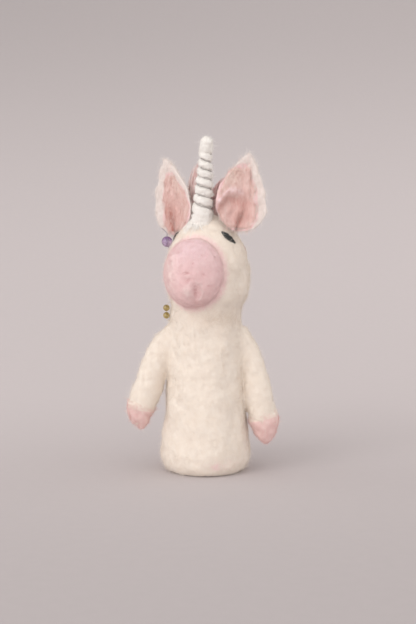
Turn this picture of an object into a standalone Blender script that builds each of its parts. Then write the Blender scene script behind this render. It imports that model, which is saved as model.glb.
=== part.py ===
"""Needle-felted unicorn finger puppet, standing on its hem with the finger pocket open below.

+Z is up, the face looks to -Y and +X is the puppet's own left. The origin is at hem level,
under the middle of the puppet's box. Sizes are metres. The head has its own frame, turned a
little to the puppet's right, and everything on the head is placed in that frame.
"""

import math

import bmesh
import bpy
import numpy as np
from mathutils import Vector
from mathutils.bvhtree import BVHTree

MM = 0.001
SEAM_GAP = 0.3 * MM  # between pieces that are felted or sewn onto each other

# Unevenness of hand felting: a sum of plane waves in seeded random directions
LUMP_SPACING = 9.0 * MM
LUMP_HEIGHT = 0.2 * MM
LUMP_WAVES = 18
LUMP_STRETCH = (0.7, 1.4)  # shortest and longest wave number, as shares of the mean one
LUMP_SEED = 11
LUMP_FADE = 4.0 * MM  # the hem's flat and the neck's crown stay even

SIDES = {"left": 1.0, "right": -1.0}  # the puppet's own, with the sign of X

# Sleeve: one turned tube of felt, with a rounded hem and a crown inside the head
BODY_HEIGHT = 53.0 * MM
NECK_RADIUS = 11.7 * MM
HEM_RADIUS = 14.8 * MM
HEM_ROLL = 7.0 * MM
HEM_FLAT_RADIUS = 11.5 * MM
FLARE_POWER = 1.8
CROWN_RISE = 6.0 * MM
POCKET_RADIUS = 8.8 * MM
POCKET_DEPTH = 50.0 * MM
SLEEVE_STEPS = 36
CROWN_POINTS = 7
SIDE_SPANS = 14
ROLL_POINTS = 6
DOME_POINTS = 6

# Head: an egg, fuller below than above, turned to the puppet's right
HEAD_SIDE = 0.7 * MM
HEAD_ABOVE_NECK = 13.0 * MM
HEAD_HALF_WIDTH = 13.8 * MM
HEAD_HALF_DEPTH = 14.0 * MM
HEAD_CROWN = 19.0 * MM
HEAD_JAW = 16.5 * MM
HEAD_TURN = math.radians(-22.0)
CROWN_POWER = 1.8
JAW_POWER = 2.6
HEAD_SEGMENTS = (36, 22)  # around, from jaw to crown

# Muzzle: a soft pad on the front of the head
MUZZLE_HALF_WIDTH = 9.7 * MM
MUZZLE_HALF_DEPTH = 8.6 * MM
MUZZLE_HALF_HEIGHT = 11.0 * MM
MUZZLE_SINK = 2.6 * MM  # how far its middle lies behind the head's front
MUZZLE_DROP = 0.2 * MM
MARKS_SIDE = 3.3 * MM  # nostrils and mouth are set to the puppet's left of the middle
CHIN_PUSH = 1.3 * MM
NOSTRIL_SPACING = 5.2 * MM
NOSTRIL_DEPTH = 0.7 * MM
NOSTRIL_RADIUS = 1.3 * MM
MOUTH_DROP = 5.8 * MM
MOUTH_HEIGHT = 5.0 * MM
MOUTH_DEPTH = 1.0 * MM
MOUTH_WIDTH = 1.2 * MM
MUZZLE_SEGMENTS = (30, 20)

# Eyes: slanting almonds that follow the head's curve
EYE_LENGTH = 6.2 * MM
EYE_HEIGHT = 2.3 * MM
EYE_RELIEF = 0.9 * MM
EYE_LEVEL = 11.3 * MM
EYE_SLANT = math.radians(49.0)
EYE_TAPER = 0.75  # share of the height that is lost at the eye's two ends
EYE_AZIMUTHS = {"left_eye": math.radians(62.0), "right_eye": math.radians(-71.5)}
EYE_SEGMENTS = (14, 8)

# Ears: cupped leaves with a pink lining that leaves a cream rim on the outer side
EAR_LENGTHS = {"left": 25.5 * MM, "right": 26.5 * MM}
EAR_WIDTH = 17.0 * MM
EAR_THICKNESS = 2.2 * MM
EAR_CUPS = {"left": 3.4 * MM, "right": 1.8 * MM}
EAR_CURVES = {"left": 1.2 * MM, "right": 7.5 * MM}
EAR_LEVELS = {"left": 13.2 * MM, "right": 12.2 * MM}
EAR_RADII = {"left": 10.9 * MM, "right": 10.3 * MM}
EAR_AZIMUTH = math.radians(80.0)
EAR_SPLAY = math.radians(22.0)
EAR_LEANS = {"left": math.radians(7.2), "right": math.radians(0.8)}
EAR_PITCH = math.radians(4.0)
EAR_THINNING = 0.55  # share of the felt's thickness that is lost at the edges
LEAF_FULLNESS = 0.8  # fills the leaf out, the lower the more
LEAF_LOWS = {"left": (0.74, 0.56), "right": (0.75, 0.62)}  # inner and outer half, wide lower down
EAR_SPAN = (0.02, 0.985)  # shares of the length that the felt covers
EAR_RINGS = (13, 9)  # up the ear, across it
LINING_THICKNESS = 0.8 * MM
LINING_SPAN = (0.1, 0.86)
LINING_INNER_EDGE = 0.92  # share of the inner half that is lined
LINING_RIM = 0.30  # share of the outer half that stays cream
LINING_RINGS = (10, 8)

# Horn: a wool cone bound by a wound thread that waists it
HORN_LENGTH = 26.4 * MM
HORN_ROOT_RADIUS = 3.4 * MM
HORN_TIP_RADIUS = 1.95 * MM
HORN_FORWARD = 4.9 * MM
HORN_SUNK = 3.0 * MM
HORN_LEAN = math.radians(7.0)
HORN_NOD = math.radians(7.5)
THREAD_RADIUS = 0.24 * MM
THREAD_GROOVE = 0.80 * MM
THREAD_TURNS = 6.5
THREAD_START = 0.075
THREAD_END = 0.80
THREAD_POWER = 1.1
THREAD_POINTS_PER_TURN = 12
GROOVE_POWER = 1.5
GROOVE_LEAD = 0.042  # share of the horn that the groove begins below the thread
GROOVE_RUNOUT = 0.03  # share of the horn over which the groove fades at its ends
HORN_SIDES = 20
HORN_RINGS_PER_TURN = 7.4
HORN_ROOT_RINGS = 4
HORN_TIP_RINGS = 6
HORN_TIP_CURL = 1.5  # angle that the tip's rings are spread over, up to a right angle

# Arms: the route's points are hundredths of the body's height, as
# (out from the neck's side, below the neck, forward, half width)
ARM_ROUTES = {
    "right": [
        (-3.6, 14.3, 0.0, 8.1), (4.2, 21.1, 1.1, 7.9), (9.4, 32.1, 3.0, 8.3), (12.5, 43.2, 4.3, 9.0),
        (15.7, 51.9, 5.3, 9.1), (18.3, 60.2, 5.7, 8.5), (18.7, 65.8, 5.7, 6.4), (18.1, 69.8, 5.7, 4.2),
        (18.1, 73.4, 5.7, 0.9),
    ],
    "left": [
        (-2.8, 13.8, 0.0, 8.1), (3.6, 22.3, 1.1, 7.2), (7.3, 31.9, 3.0, 7.2), (9.6, 43.8, 4.3, 8.2),
        (10.9, 52.5, 5.3, 9.0), (12.5, 60.6, 5.7, 8.9), (14.3, 67.7, 5.7, 8.9), (15.3, 74.9, 5.7, 6.8),
        (15.8, 80.4, 5.7, 3.6), (16.0, 82.6, 5.7, 0.9),
    ],
}
HOOF_SHARES = {"left": 0.17, "right": 0.136}  # length of the pink tip, in body heights
ARM_DEPTH_SHARE = 0.92
POINTS_PER_SPAN = 12  # of the smooth curve between two points of a route
ARM_RINGS = 13
HOOF_RINGS = 10
ARM_SECTION_SIDES = 16

# Mane: locks in a row from behind the horn to the nape, each lying on the one below
LOCK_SUNK = 2.0 * MM
LOCK_TIP = 0.15 * MM
LOCK_TAPER_POWER = 2.6
LOCK_WAIST = 0.72  # share of the width at the lock's root
LOCK_RINGS = 12
LOCK_SECTION_SIDES = 12
MANE_LOCKS = [
    # side, length, half width and half thickness in hundredths of the head's mean reach, angle
    # back from the crown, lean to the side, then the pitch off the head's normal at root and tip
    (-18.8, 109.1, 20.6, 15.8, 8.0, -6.0, -8.0, 22.0),
    (20.0, 78.8, 20.6, 15.8, 10.0, 2.0, -8.0, 30.0),
    (-3.6, 84.8, 30.3, 13.9, 31.0, -4.0, 26.0, 132.0),
    (4.8, 78.8, 32.1, 13.9, 53.0, 6.0, 36.0, 142.0),
    (-4.8, 78.8, 32.1, 13.9, 75.0, -6.0, 40.0, 145.0),
    (3.6, 84.8, 29.7, 13.3, 97.0, 4.0, 42.0, 128.0),
]

# Beads: pierced glass beads sewn to the head and to the neck
PURPLE_BEAD_DIAMETER = 3.6 * MM
PURPLE_BEAD_HOLE = 1.0 * MM
PURPLE_BEAD_LEVEL = 9.2 * MM
PURPLE_BEAD_AZIMUTH = math.radians(-68.0)
YELLOW_BEAD_DIAMETER = 2.2 * MM
YELLOW_BEAD_HOLE = 0.7 * MM
YELLOW_BEAD_RISE = 1.2 * MM  # the upper one's middle, above the neck crease
YELLOW_BEAD_FORWARD = 2.0 * MM
BEAD_STEPS = 16
BEAD_PROFILE_POINTS = 9

CREAM = (0.86, 0.78, 0.69)
PINK = (0.80, 0.50, 0.50)
ROSE = (0.52, 0.20, 0.22)
WHITE = (0.88, 0.84, 0.80)
SILVER = (0.42, 0.41, 0.43)
BLACK = (0.012, 0.012, 0.011)
PURPLE = (0.26, 0.11, 0.28)
OLIVE_GOLD = (0.50, 0.38, 0.15)


def clear_scene():
    for item in list(bpy.data.objects):
        bpy.data.objects.remove(item)


def new_collection(name, hidden=False):
    collection = bpy.data.collections.new(name)
    collection.hide_render = hidden
    bpy.context.scene.collection.children.link(collection)
    return collection


def finish(name, colour, roughness, metallic=0.0):
    """Principled material of one colour."""
    material = bpy.data.materials.new(name)
    material.use_nodes = True
    shader = material.node_tree.nodes["Principled BSDF"]
    shader.inputs["Base Color"].default_value = (*colour, 1.0)
    shader.inputs["Roughness"].default_value = roughness
    shader.inputs["Metallic"].default_value = metallic
    return material


def add_empty(name, collection, parent=None, location=(0.0, 0.0, 0.0), turn=0.0):
    frame = bpy.data.objects.new(name, None)
    collection.objects.link(frame)
    frame.parent = parent
    frame.location = location
    frame.rotation_euler = (0.0, 0.0, turn)
    return frame


def add_part(name, mesh, collection, parent, material):
    part = bpy.data.objects.new(name, mesh)
    collection.objects.link(part)
    part.parent = parent
    mesh.materials.append(material)
    mesh.shade_smooth()
    mesh.set_sharp_from_angle(angle=math.radians(60.0))
    return part


def add_cutter(name, mesh, collection, parent):
    cutter = bpy.data.objects.new(name, mesh)
    collection.objects.link(cutter)
    cutter.parent = parent
    cutter.hide_render = True
    cutter.display_type = "WIRE"
    return cutter


def skin_tree(item):
    """Search tree over the faces of a piece as it is drawn, in the whole puppet's space."""
    bpy.context.view_layer.update()
    drawn = item.evaluated_get(bpy.context.evaluated_depsgraph_get())
    form = bmesh.new()
    form.from_mesh(drawn.to_mesh())
    form.transform(drawn.matrix_world)
    drawn.to_mesh_clear()
    tree = BVHTree.FromBMesh(form)
    form.free()
    return tree


def seat_on(part, *cutters):
    """Cuts the part back to the grown form of each neighbour it meets, which leaves the seam gap."""
    for cutter in cutters:
        if not skin_tree(part).overlap(skin_tree(cutter)):
            continue
        cut = part.modifiers.new(f"seat_on_{cutter.name}", "BOOLEAN")
        cut.operation = "DIFFERENCE"
        cut.solver = "EXACT"
        cut.object = cutter


def add_turning(part, steps):
    """Turns the profile round Z. The profile runs down its outer side."""
    screw = part.modifiers.new("turned", "SCREW")
    screw.steps = screw.render_steps = steps
    screw.use_merge_vertices = True
    screw.merge_threshold = 0.00001
    screw.use_smooth_shade = True


def profile_mesh(name, points, closed=False):
    """Edges through (radius, height) points in the XZ plane."""
    count = len(points)
    edges = [(i, i + 1) for i in range(count - 1)] + ([(count - 1, 0)] if closed else [])
    mesh = bpy.data.meshes.new(name)
    mesh.from_pydata([(x, 0.0, z) for x, z in points], edges, [])
    return mesh


def mesh_facing_out(name, form):
    """Mesh of a closed form, with its faces pointing out whichever way it was made."""
    bmesh.ops.recalc_face_normals(form, faces=form.faces)
    if form.calc_volume(signed=True) < 0.0:
        bmesh.ops.reverse_faces(form, faces=form.faces)
    mesh = bpy.data.meshes.new(name)
    form.to_mesh(mesh)
    form.free()
    return mesh


def loft_mesh(name, rings, start, end):
    """Closed skin over rings of equal count, with a fan to the start and the end point."""
    sides = rings.shape[1]
    form = bmesh.new()
    rows = [[form.verts.new(point) for point in ring] for ring in rings]
    first, last = form.verts.new(start), form.verts.new(end)
    for lower, upper in zip(rows, rows[1:]):
        for side in range(sides):
            after = (side + 1) % sides
            form.faces.new((lower[side], lower[after], upper[after], upper[side]))
    for side in range(sides):
        after = (side + 1) % sides
        form.faces.new((first, rows[0][after], rows[0][side]))
        form.faces.new((last, rows[-1][side], rows[-1][after]))
    return mesh_facing_out(name, form)


def smooth_route(points):
    """Rows and distances along a smooth curve through the rows of points (Catmull-Rom)."""
    ends = np.vstack([2 * points[0] - points[1], points, 2 * points[-1] - points[-2]])
    t = np.linspace(0.0, 1.0, POINTS_PER_SPAN, endpoint=False)[:, None]
    spans = []
    for a, b, c, d in zip(ends, ends[1:], ends[2:], ends[3:]):
        bend = 2 * a - 5 * b + 4 * c - d
        twist = 3 * b - a - 3 * c + d
        spans.append(0.5 * (2 * b + (c - a) * t + bend * t**2 + twist * t**3))
    dense = np.vstack([*spans, points[-1:]])
    along = np.concatenate([[0.0], np.cumsum(np.linalg.norm(np.diff(dense[:, :3], axis=0), axis=1))])
    return dense, along


def sweep_mesh(name, middles, tangents, half_across, half_deep, sides):
    """Oval sections carried along the middles, each with its width as near to X as it can be."""
    tangents = tangents / np.linalg.norm(tangents, axis=1)[:, None]
    deep = np.cross(tangents, (1.0, 0.0, 0.0))
    deep /= np.linalg.norm(deep, axis=1)[:, None]
    across = np.cross(deep, tangents)
    angle = np.linspace(0.0, math.tau, sides, endpoint=False)
    rings = (
        middles[:, None]
        + across[:, None] * (half_across[:, None] * np.cos(angle))[..., None]
        + deep[:, None] * (half_deep[:, None] * np.sin(angle))[..., None]
    )
    return loft_mesh(name, rings, middles[0], middles[-1])


def lumps(points):
    """Heights of the unevenness at points of a piece's own space."""
    source = np.random.default_rng(LUMP_SEED)
    stretch = source.uniform(*LUMP_STRETCH, (LUMP_WAVES, 1))
    ways = source.normal(size=(LUMP_WAVES, 3))
    ways *= stretch * math.tau / LUMP_SPACING / np.linalg.norm(ways, axis=1)[:, None]
    phases = source.uniform(0.0, math.tau, LUMP_WAVES)
    total = np.sin(points @ ways.T + phases).sum(axis=-1)
    return LUMP_HEIGHT * total / math.sqrt(LUMP_WAVES / 2)


def arc(centre, radii, start, stop, count):
    """Points on an ellipse's arc, angles in degrees from +X, as (radius, height)."""
    angles = np.radians(np.linspace(start, stop, count))
    return [(centre[0] + radii[0] * math.cos(a), centre[1] + radii[1] * math.sin(a)) for a in angles]


def sleeve_radius(height):
    """Outer radius of the sleeve between the rounded hem and the neck crease."""
    fall = (BODY_HEIGHT - height) / (BODY_HEIGHT - HEM_ROLL)
    return NECK_RADIUS + (HEM_RADIUS - NECK_RADIUS) * fall**FLARE_POWER


def sleeve_outline(grow=0.0):
    """Outer profile, from the crown on the axis down to the hem's flat."""
    crown_radii = (NECK_RADIUS + grow, CROWN_RISE + grow)
    crown = arc((0.0, BODY_HEIGHT), crown_radii, 90.0, 0.0, CROWN_POINTS)
    heights = np.linspace(BODY_HEIGHT, HEM_ROLL, SIDE_SPANS + 1)[1:-1]
    side = [(sleeve_radius(z) + grow, z) for z in heights]
    roll_radii = (HEM_RADIUS - HEM_FLAT_RADIUS + grow, HEM_ROLL + grow)
    roll = arc((HEM_FLAT_RADIUS, HEM_ROLL), roll_radii, 0.0, -90.0, ROLL_POINTS)
    return crown + side + roll


def sleeve_top(grow=0.0):
    """The crown's highest point."""
    return (0.0, 0.0, BODY_HEIGHT + CROWN_RISE + grow)


def turned_rings(outline):
    """Rings of points round Z, one for each (radius, height) of the outline."""
    rows = np.array(outline)
    angle = np.linspace(0.0, math.tau, SLEEVE_STEPS, endpoint=False)
    across = (rows[:, :1] * np.cos(angle), rows[:, :1] * np.sin(angle))
    return np.stack(np.broadcast_arrays(*across, rows[:, 1:]), -1)


def uneven_rings(grow=0.0):
    """The sleeve's outer rings from the crown to the hem, with its side uneven."""
    even = turned_rings(sleeve_outline()[1:])
    height = even[..., 2]
    fade = np.clip(height / LUMP_FADE, 0.0, 1.0) * np.clip((BODY_HEIGHT - height) / LUMP_FADE, 0.0, 1.0)
    outwards = even * (1.0, 1.0, 0.0)
    outwards /= np.linalg.norm(outwards, axis=-1)[..., None]
    return turned_rings(sleeve_outline(grow)[1:]) + outwards * (fade * lumps(even))[..., None]


def add_sleeve(collection, parent, material):
    """The body: a thick felt tube whose bore ends in a dome below the neck."""
    dome_base = POCKET_DEPTH - POCKET_RADIUS
    bore = arc((0.0, dome_base), (POCKET_RADIUS, POCKET_RADIUS), 0.0, 90.0, DOME_POINTS)[:-1]
    inside = turned_rings([(POCKET_RADIUS, 0.0), *bore])
    rings = np.concatenate([uneven_rings(), inside])
    mesh = loft_mesh("torso_sleeve", rings, sleeve_top(), (0.0, 0.0, POCKET_DEPTH))
    return add_part("torso_sleeve", mesh, collection, parent, material)


def add_sleeve_cutter(collection, parent):
    mesh = loft_mesh("grown_sleeve", uneven_rings(SEAM_GAP), sleeve_top(SEAM_GAP), (0.0, 0.0, -SEAM_GAP))
    return add_cutter("grown_sleeve", mesh, collection, parent)


def egg_section(height):
    """Share of the head's half width that is left at a height above its middle."""
    reach = np.where(height >= 0.0, HEAD_CROWN, HEAD_JAW)
    power = np.where(height >= 0.0, CROWN_POWER, JAW_POWER)
    inside = np.clip(1.0 - np.abs(height / reach) ** power, 0.0, 1.0)
    return inside ** (1.0 / power)


def on_head(azimuth, height, lift):
    """Points at a lift off the head's skin. Azimuth 0 is the face, positive is the left side."""
    azimuth, height = np.broadcast_arrays(np.asarray(azimuth, float), np.asarray(height, float))
    share = egg_section(height)
    across = HEAD_HALF_WIDTH * share * np.sin(azimuth)
    skin = np.stack([across, -HEAD_HALF_DEPTH * share * np.cos(azimuth), height], -1)
    step = 0.1 * MM
    slope = (egg_section(height + step) - egg_section(height - step)) / (2 * step)
    normal = np.stack(
        [np.sin(azimuth) / HEAD_HALF_WIDTH, -np.cos(azimuth) / HEAD_HALF_DEPTH, -slope], -1
    )
    normal /= np.linalg.norm(normal, axis=-1)[..., None]
    return skin + normal * (lumps(skin) + lift)[..., None]


def ball_mesh(name, segments, rings, shape):
    """UV sphere whose unit points are moved by the given function of an array."""
    form = bmesh.new()
    bmesh.ops.create_uvsphere(form, u_segments=segments, v_segments=rings, radius=1.0)
    unit = np.array([vert.co for vert in form.verts])
    for vert, point in zip(form.verts, shape(unit)):
        vert.co = point
    return mesh_facing_out(name, form)


def egg_shape(unit, grow=0.0):
    """The egg: a sphere's points with the crown drawn in and the jaw filled out."""
    height = unit[:, 2]
    around = np.hypot(unit[:, 0], unit[:, 1])
    power = np.where(height >= 0.0, CROWN_POWER, JAW_POWER)
    reach = np.where(height >= 0.0, HEAD_CROWN, HEAD_JAW) + grow
    share = around ** (2.0 / power) / np.maximum(around, 1e-9)
    return np.stack(
        [
            unit[:, 0] * share * (HEAD_HALF_WIDTH + grow),
            unit[:, 1] * share * (HEAD_HALF_DEPTH + grow),
            np.sign(height) * np.abs(height) ** (2.0 / power) * reach,
        ],
        -1,
    )


def head_shape(unit, grow=0.0):
    """The egg with its unevenness."""
    return egg_shape(unit, grow) + unit * lumps(egg_shape(unit))[:, None]


def muzzle_shape(unit):
    """A rounded pad, pushed forward at the chin, with two nostrils and a short upright mouth."""
    x = unit[:, 0] * MUZZLE_HALF_WIDTH
    z = unit[:, 2] * MUZZLE_HALF_HEIGHT
    y = unit[:, 1] * MUZZLE_HALF_DEPTH - CHIN_PUSH * np.clip(-unit[:, 2], 0.0, 1.0)
    front = np.clip(-unit[:, 1], 0.0, 1.0)
    for side in (-1.0, 1.0):
        away = ((x - MARKS_SIDE - side * NOSTRIL_SPACING / 2) ** 2 + z**2) / NOSTRIL_RADIUS**2
        y = y + front * NOSTRIL_DEPTH * np.exp(-away)
    cleft = ((x - MARKS_SIDE) / MOUTH_WIDTH) ** 2 + ((z + MOUTH_DROP) / (MOUTH_HEIGHT / 2)) ** 4
    y = y + front * MOUTH_DEPTH * np.exp(-cleft)
    return np.stack([x, y - HEAD_HALF_DEPTH + MUZZLE_SINK, z - MUZZLE_DROP], -1)


def eye_shape(unit, azimuth):
    """An almond laid on the head: flat underneath, pointed at both ends."""
    taper = 1.0 - EYE_TAPER * unit[:, 0] ** 2
    along = unit[:, 0] * EYE_LENGTH / 2
    across = unit[:, 1] * taper * EYE_HEIGHT / 2
    lift = SEAM_GAP + EYE_RELIEF * np.clip(unit[:, 2], 0.0, 1.0)
    back = along * math.cos(EYE_SLANT) + across * math.sin(EYE_SLANT)
    down = along * math.sin(EYE_SLANT) - across * math.cos(EYE_SLANT)
    radius = HEAD_HALF_WIDTH * egg_section(np.array(EYE_LEVEL))
    slope = (egg_section(np.array(EYE_LEVEL + MM)) - egg_section(np.array(EYE_LEVEL - MM))) / (2 * MM)
    steepness = math.hypot(1.0, HEAD_HALF_WIDTH * float(slope))
    turn = azimuth + math.copysign(1.0, azimuth) * back / radius
    return on_head(turn, EYE_LEVEL - down / steepness, lift)


def leaf(u, v, side):
    """Half width of an ear, as a share of the widest, from its root at 0 to its tip at 1."""
    inner, outer = LEAF_LOWS[side]
    return np.sin(math.pi * np.clip(u, 0.0, 1.0) ** np.where(v < 0.0, inner, outer)) ** LEAF_FULLNESS


def ear_points(u, v, lift, side):
    """Points of the cupped leaf: u runs up the ear, v across it, lift is forward of its middle."""
    spread = leaf(u, v, side)
    x = EAR_WIDTH / 2 * spread * v + EAR_CURVES[side] * u**2
    y = -EAR_CUPS[side] * spread * v**2 - lift
    return np.stack(np.broadcast_arrays(SIDES[side] * x, y, EAR_LENGTHS[side] * u), -1)


def shell_mesh(name, side, u, v, back, front):
    """Closed shell between two lifts of the leaf."""
    u, v = u[:, None], v[None, :]
    rings = np.concatenate(
        [ear_points(u, v, front(v), side), ear_points(u, v[:, ::-1], back(v[:, ::-1]), side)], axis=1
    )
    return loft_mesh(name, rings, rings[0].mean(axis=0), rings[-1].mean(axis=0))


def ear_half(v):
    """Half thickness of the felt, thinner at the edges."""
    return EAR_THICKNESS / 2 * (1.0 - EAR_THINNING * v**2)


def place_ear(part, side):
    sign, radius = SIDES[side], EAR_RADII[side]
    across, forward = radius * math.sin(EAR_AZIMUTH), radius * math.cos(EAR_AZIMUTH)
    part.location = (sign * across, -forward, EAR_LEVELS[side])
    part.rotation_euler = (-EAR_PITCH, sign * EAR_LEANS[side], sign * EAR_SPLAY)


def horn_radius(s):
    """Radius of the wool before the thread waists it: a cone with a round end."""
    cone = HORN_ROOT_RADIUS + (HORN_TIP_RADIUS - HORN_ROOT_RADIUS) * np.clip(s / THREAD_END, 0.0, 1.0)
    cap = np.clip((s - 1.0) * HORN_LENGTH / HORN_TIP_RADIUS + 1.0, 0.0, 1.0)
    return cone * np.sqrt(1.0 - cap**2)


def thread_turn(s):
    """Turns of the thread wound by the share s of the horn's length, closer near the top."""
    share = np.clip((s - THREAD_START) / (THREAD_END - THREAD_START), 0.0, 1.2)
    return THREAD_TURNS * share**THREAD_POWER


def waisted_radius(s, angle):
    """Radius with the groove that the wound thread presses in, wound left-handed."""
    wave = (1.0 + np.cos(math.tau * thread_turn(s) + angle - math.tau * THREAD_TURNS)) / 2
    rise = np.clip((s - THREAD_START + GROOVE_LEAD) / GROOVE_RUNOUT, 0.0, 1.0)
    fade = rise * np.clip((THREAD_END - s) / GROOVE_RUNOUT + 1.0, 0.0, 1.0)
    return horn_radius(s) - THREAD_GROOVE * fade * wave**GROOVE_POWER


def horn_mesh(name):
    """Rings up the horn, close enough together to follow each turn of the groove."""
    bound = int(THREAD_TURNS * HORN_RINGS_PER_TURN)
    bare = THREAD_END + GROOVE_RUNOUT
    curl = np.linspace(0.0, HORN_TIP_CURL, HORN_TIP_RINGS)
    s = np.concatenate(
        [
            np.linspace(-HORN_SUNK / HORN_LENGTH, THREAD_START, HORN_ROOT_RINGS, endpoint=False),
            np.linspace(THREAD_START, bare, bound, endpoint=False),
            bare + (1.0 - bare) * np.sin(curl),
        ]
    )[:, None]
    angle = np.linspace(0.0, math.tau, HORN_SIDES, endpoint=False)[None, :]
    radius = waisted_radius(s, angle)
    across = (radius * np.cos(angle), radius * np.sin(angle))
    rings = np.stack(np.broadcast_arrays(*across, s * HORN_LENGTH), -1)
    return loft_mesh(name, rings, (0.0, 0.0, -HORN_SUNK), (0.0, 0.0, HORN_LENGTH))


def place_horn(part):
    level = HEAD_CROWN * (1.0 - (HORN_FORWARD / HEAD_HALF_DEPTH) ** CROWN_POWER) ** (1.0 / CROWN_POWER)
    part.location = (0.0, -HORN_FORWARD, level)
    part.rotation_euler = (HORN_NOD, HORN_LEAN, 0.0)


def add_horn_thread(collection, parent, material):
    """The wound thread, lying in the horn's groove."""
    count = int(THREAD_TURNS * THREAD_POINTS_PER_TURN)
    turn = np.linspace(0.0, THREAD_TURNS, count)
    s = THREAD_START + (THREAD_END - THREAD_START) * (turn / THREAD_TURNS) ** (1.0 / THREAD_POWER)
    angle = math.tau * (THREAD_TURNS - turn)
    radius = horn_radius(s) - THREAD_GROOVE + SEAM_GAP + THREAD_RADIUS
    curve = bpy.data.curves.new("horn_thread", "CURVE")
    curve.dimensions = "3D"
    curve.bevel_depth = THREAD_RADIUS
    curve.bevel_resolution = 1
    curve.use_fill_caps = True
    spline = curve.splines.new("POLY")
    spline.points.add(count - 1)
    for point, r, a, share in zip(spline.points, radius, angle, s):
        point.co = (r * math.cos(a), r * math.sin(a), share * HORN_LENGTH, 1.0)
    curve.materials.append(material)
    thread = bpy.data.objects.new("horn_thread", curve)
    collection.objects.link(thread)
    thread.parent = parent
    place_horn(thread)
    return thread


def add_arm(side, collection, parent, felt, tip, sleeve_cutter):
    """An arm with its hoof, cut from one outline so that their ends meet."""
    sign = SIDES[side]
    route = np.array(ARM_ROUTES[side]) * BODY_HEIGHT / 100
    points = np.stack(
        [sign * (NECK_RADIUS + route[:, 0]), -route[:, 2], BODY_HEIGHT - route[:, 1], route[:, 3]], -1
    )
    dense, along = smooth_route(points)
    slopes = np.gradient(dense[:, :3], axis=0)
    wrist = along[-1] - HOOF_SHARES[side] * BODY_HEIGHT

    def section(name, start, stop, count):
        stations = np.linspace(start, stop, count)
        middles, tangents = (
            np.stack([np.interp(stations, along, rows[:, axis]) for axis in range(3)], -1)
            for rows in (dense, slopes)
        )
        half = np.interp(stations, along, dense[:, 3])
        return sweep_mesh(name, middles, tangents, half, half * ARM_DEPTH_SHARE, ARM_SECTION_SIDES)

    arm_mesh = section(f"{side}_arm", 0.0, wrist, ARM_RINGS)
    arm = add_part(f"{side}_arm", arm_mesh, collection, parent, felt)
    hoof_mesh = section(f"{side}_hoof", wrist + SEAM_GAP, along[-1], HOOF_RINGS)
    hoof = add_part(f"{side}_hoof", hoof_mesh, collection, parent, tip)
    seat_on(arm, sleeve_cutter)
    seat_on(hoof, sleeve_cutter)


def lock_mesh(name, lock, grow=0.0):
    """A curled tapering lock that leaves the head's back at one pitch and ends at another."""
    mean_reach = (HEAD_HALF_DEPTH + HEAD_CROWN) / 2
    side, length, half_width, half_thickness = (share * mean_reach / 100 for share in lock[:4])
    angle, lean, first, last = (math.radians(turn) for turn in lock[4:])
    height = math.cos(angle)
    reach = HEAD_CROWN if height >= 0.0 else HEAD_JAW
    root = np.array([side, HEAD_HALF_DEPTH * math.sin(angle), reach * height])
    out = np.array([math.sin(lean), math.sin(angle), math.cos(angle)])
    down = np.array([math.sin(lean), math.cos(angle), -math.sin(angle)])
    s = np.linspace(0.0, 1.0, LOCK_RINGS)
    pitch = first + (last - first) * s
    bend = (length + LOCK_SUNK) / (last - first)
    middles = (
        root
        - LOCK_SUNK * out
        + bend * (out * (np.sin(pitch) - math.sin(first))[:, None])
        + bend * (down * (math.cos(first) - np.cos(pitch))[:, None])
    )
    swell = LOCK_WAIST + (1.0 - LOCK_WAIST) * np.sin(math.pi * s)
    taper = swell * np.sqrt(np.clip(1.0 - s**LOCK_TAPER_POWER, 0.0, 1.0))
    width = half_width * taper + LOCK_TIP + grow
    thick = half_thickness * taper + LOCK_TIP + grow
    tangents = out * np.cos(pitch)[:, None] + down * np.sin(pitch)[:, None]
    return sweep_mesh(name, middles, tangents, width, thick, LOCK_SECTION_SIDES)


def add_mane(parts, cutters, parent, material, carriers):
    """The row of locks. Each is cut back to what carries it and to the lock above it."""
    neighbours = list(carriers)
    for number, lock in enumerate(MANE_LOCKS, start=1):
        name = f"mane_lock_{number}"
        part = add_part(name, lock_mesh(name, lock), parts, parent, material)
        seat_on(part, *neighbours)
        grown = lock_mesh(f"grown_{name}", lock, SEAM_GAP)
        neighbours = [add_cutter(f"grown_{name}", grown, cutters, parent), *carriers]


def add_bead(name, diameter, hole, location, collection, parent, material):
    """A round bead pierced along Z."""
    radius = diameter / 2
    edge = math.degrees(math.acos(hole / 2 / radius))
    outline = arc((0.0, 0.0), (radius, radius), edge, -edge, BEAD_PROFILE_POINTS)
    bead = add_part(name, profile_mesh(name, outline, closed=True), collection, parent, material)
    add_turning(bead, BEAD_STEPS)
    bead.location = location
    return bead


def centre_on_box(frame):
    """Moves the whole puppet so that the origin is under the middle of its box, at hem level."""
    bpy.context.view_layer.update()
    graph = bpy.context.evaluated_depsgraph_get()
    corners = []
    for part in bpy.data.collections["finger_puppet"].objects:
        if part.type == "EMPTY":
            continue
        drawn = part.evaluated_get(graph)
        mesh = drawn.to_mesh()
        points = np.array([drawn.matrix_world @ vert.co for vert in mesh.vertices])
        corners += [points.min(axis=0), points.max(axis=0)]
        drawn.to_mesh_clear()
    low, high = np.min(corners, axis=0), np.max(corners, axis=0)
    frame.location = -Vector(((low[0] + high[0]) / 2, (low[1] + high[1]) / 2, low[2]))
    bpy.context.view_layer.update()


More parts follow.
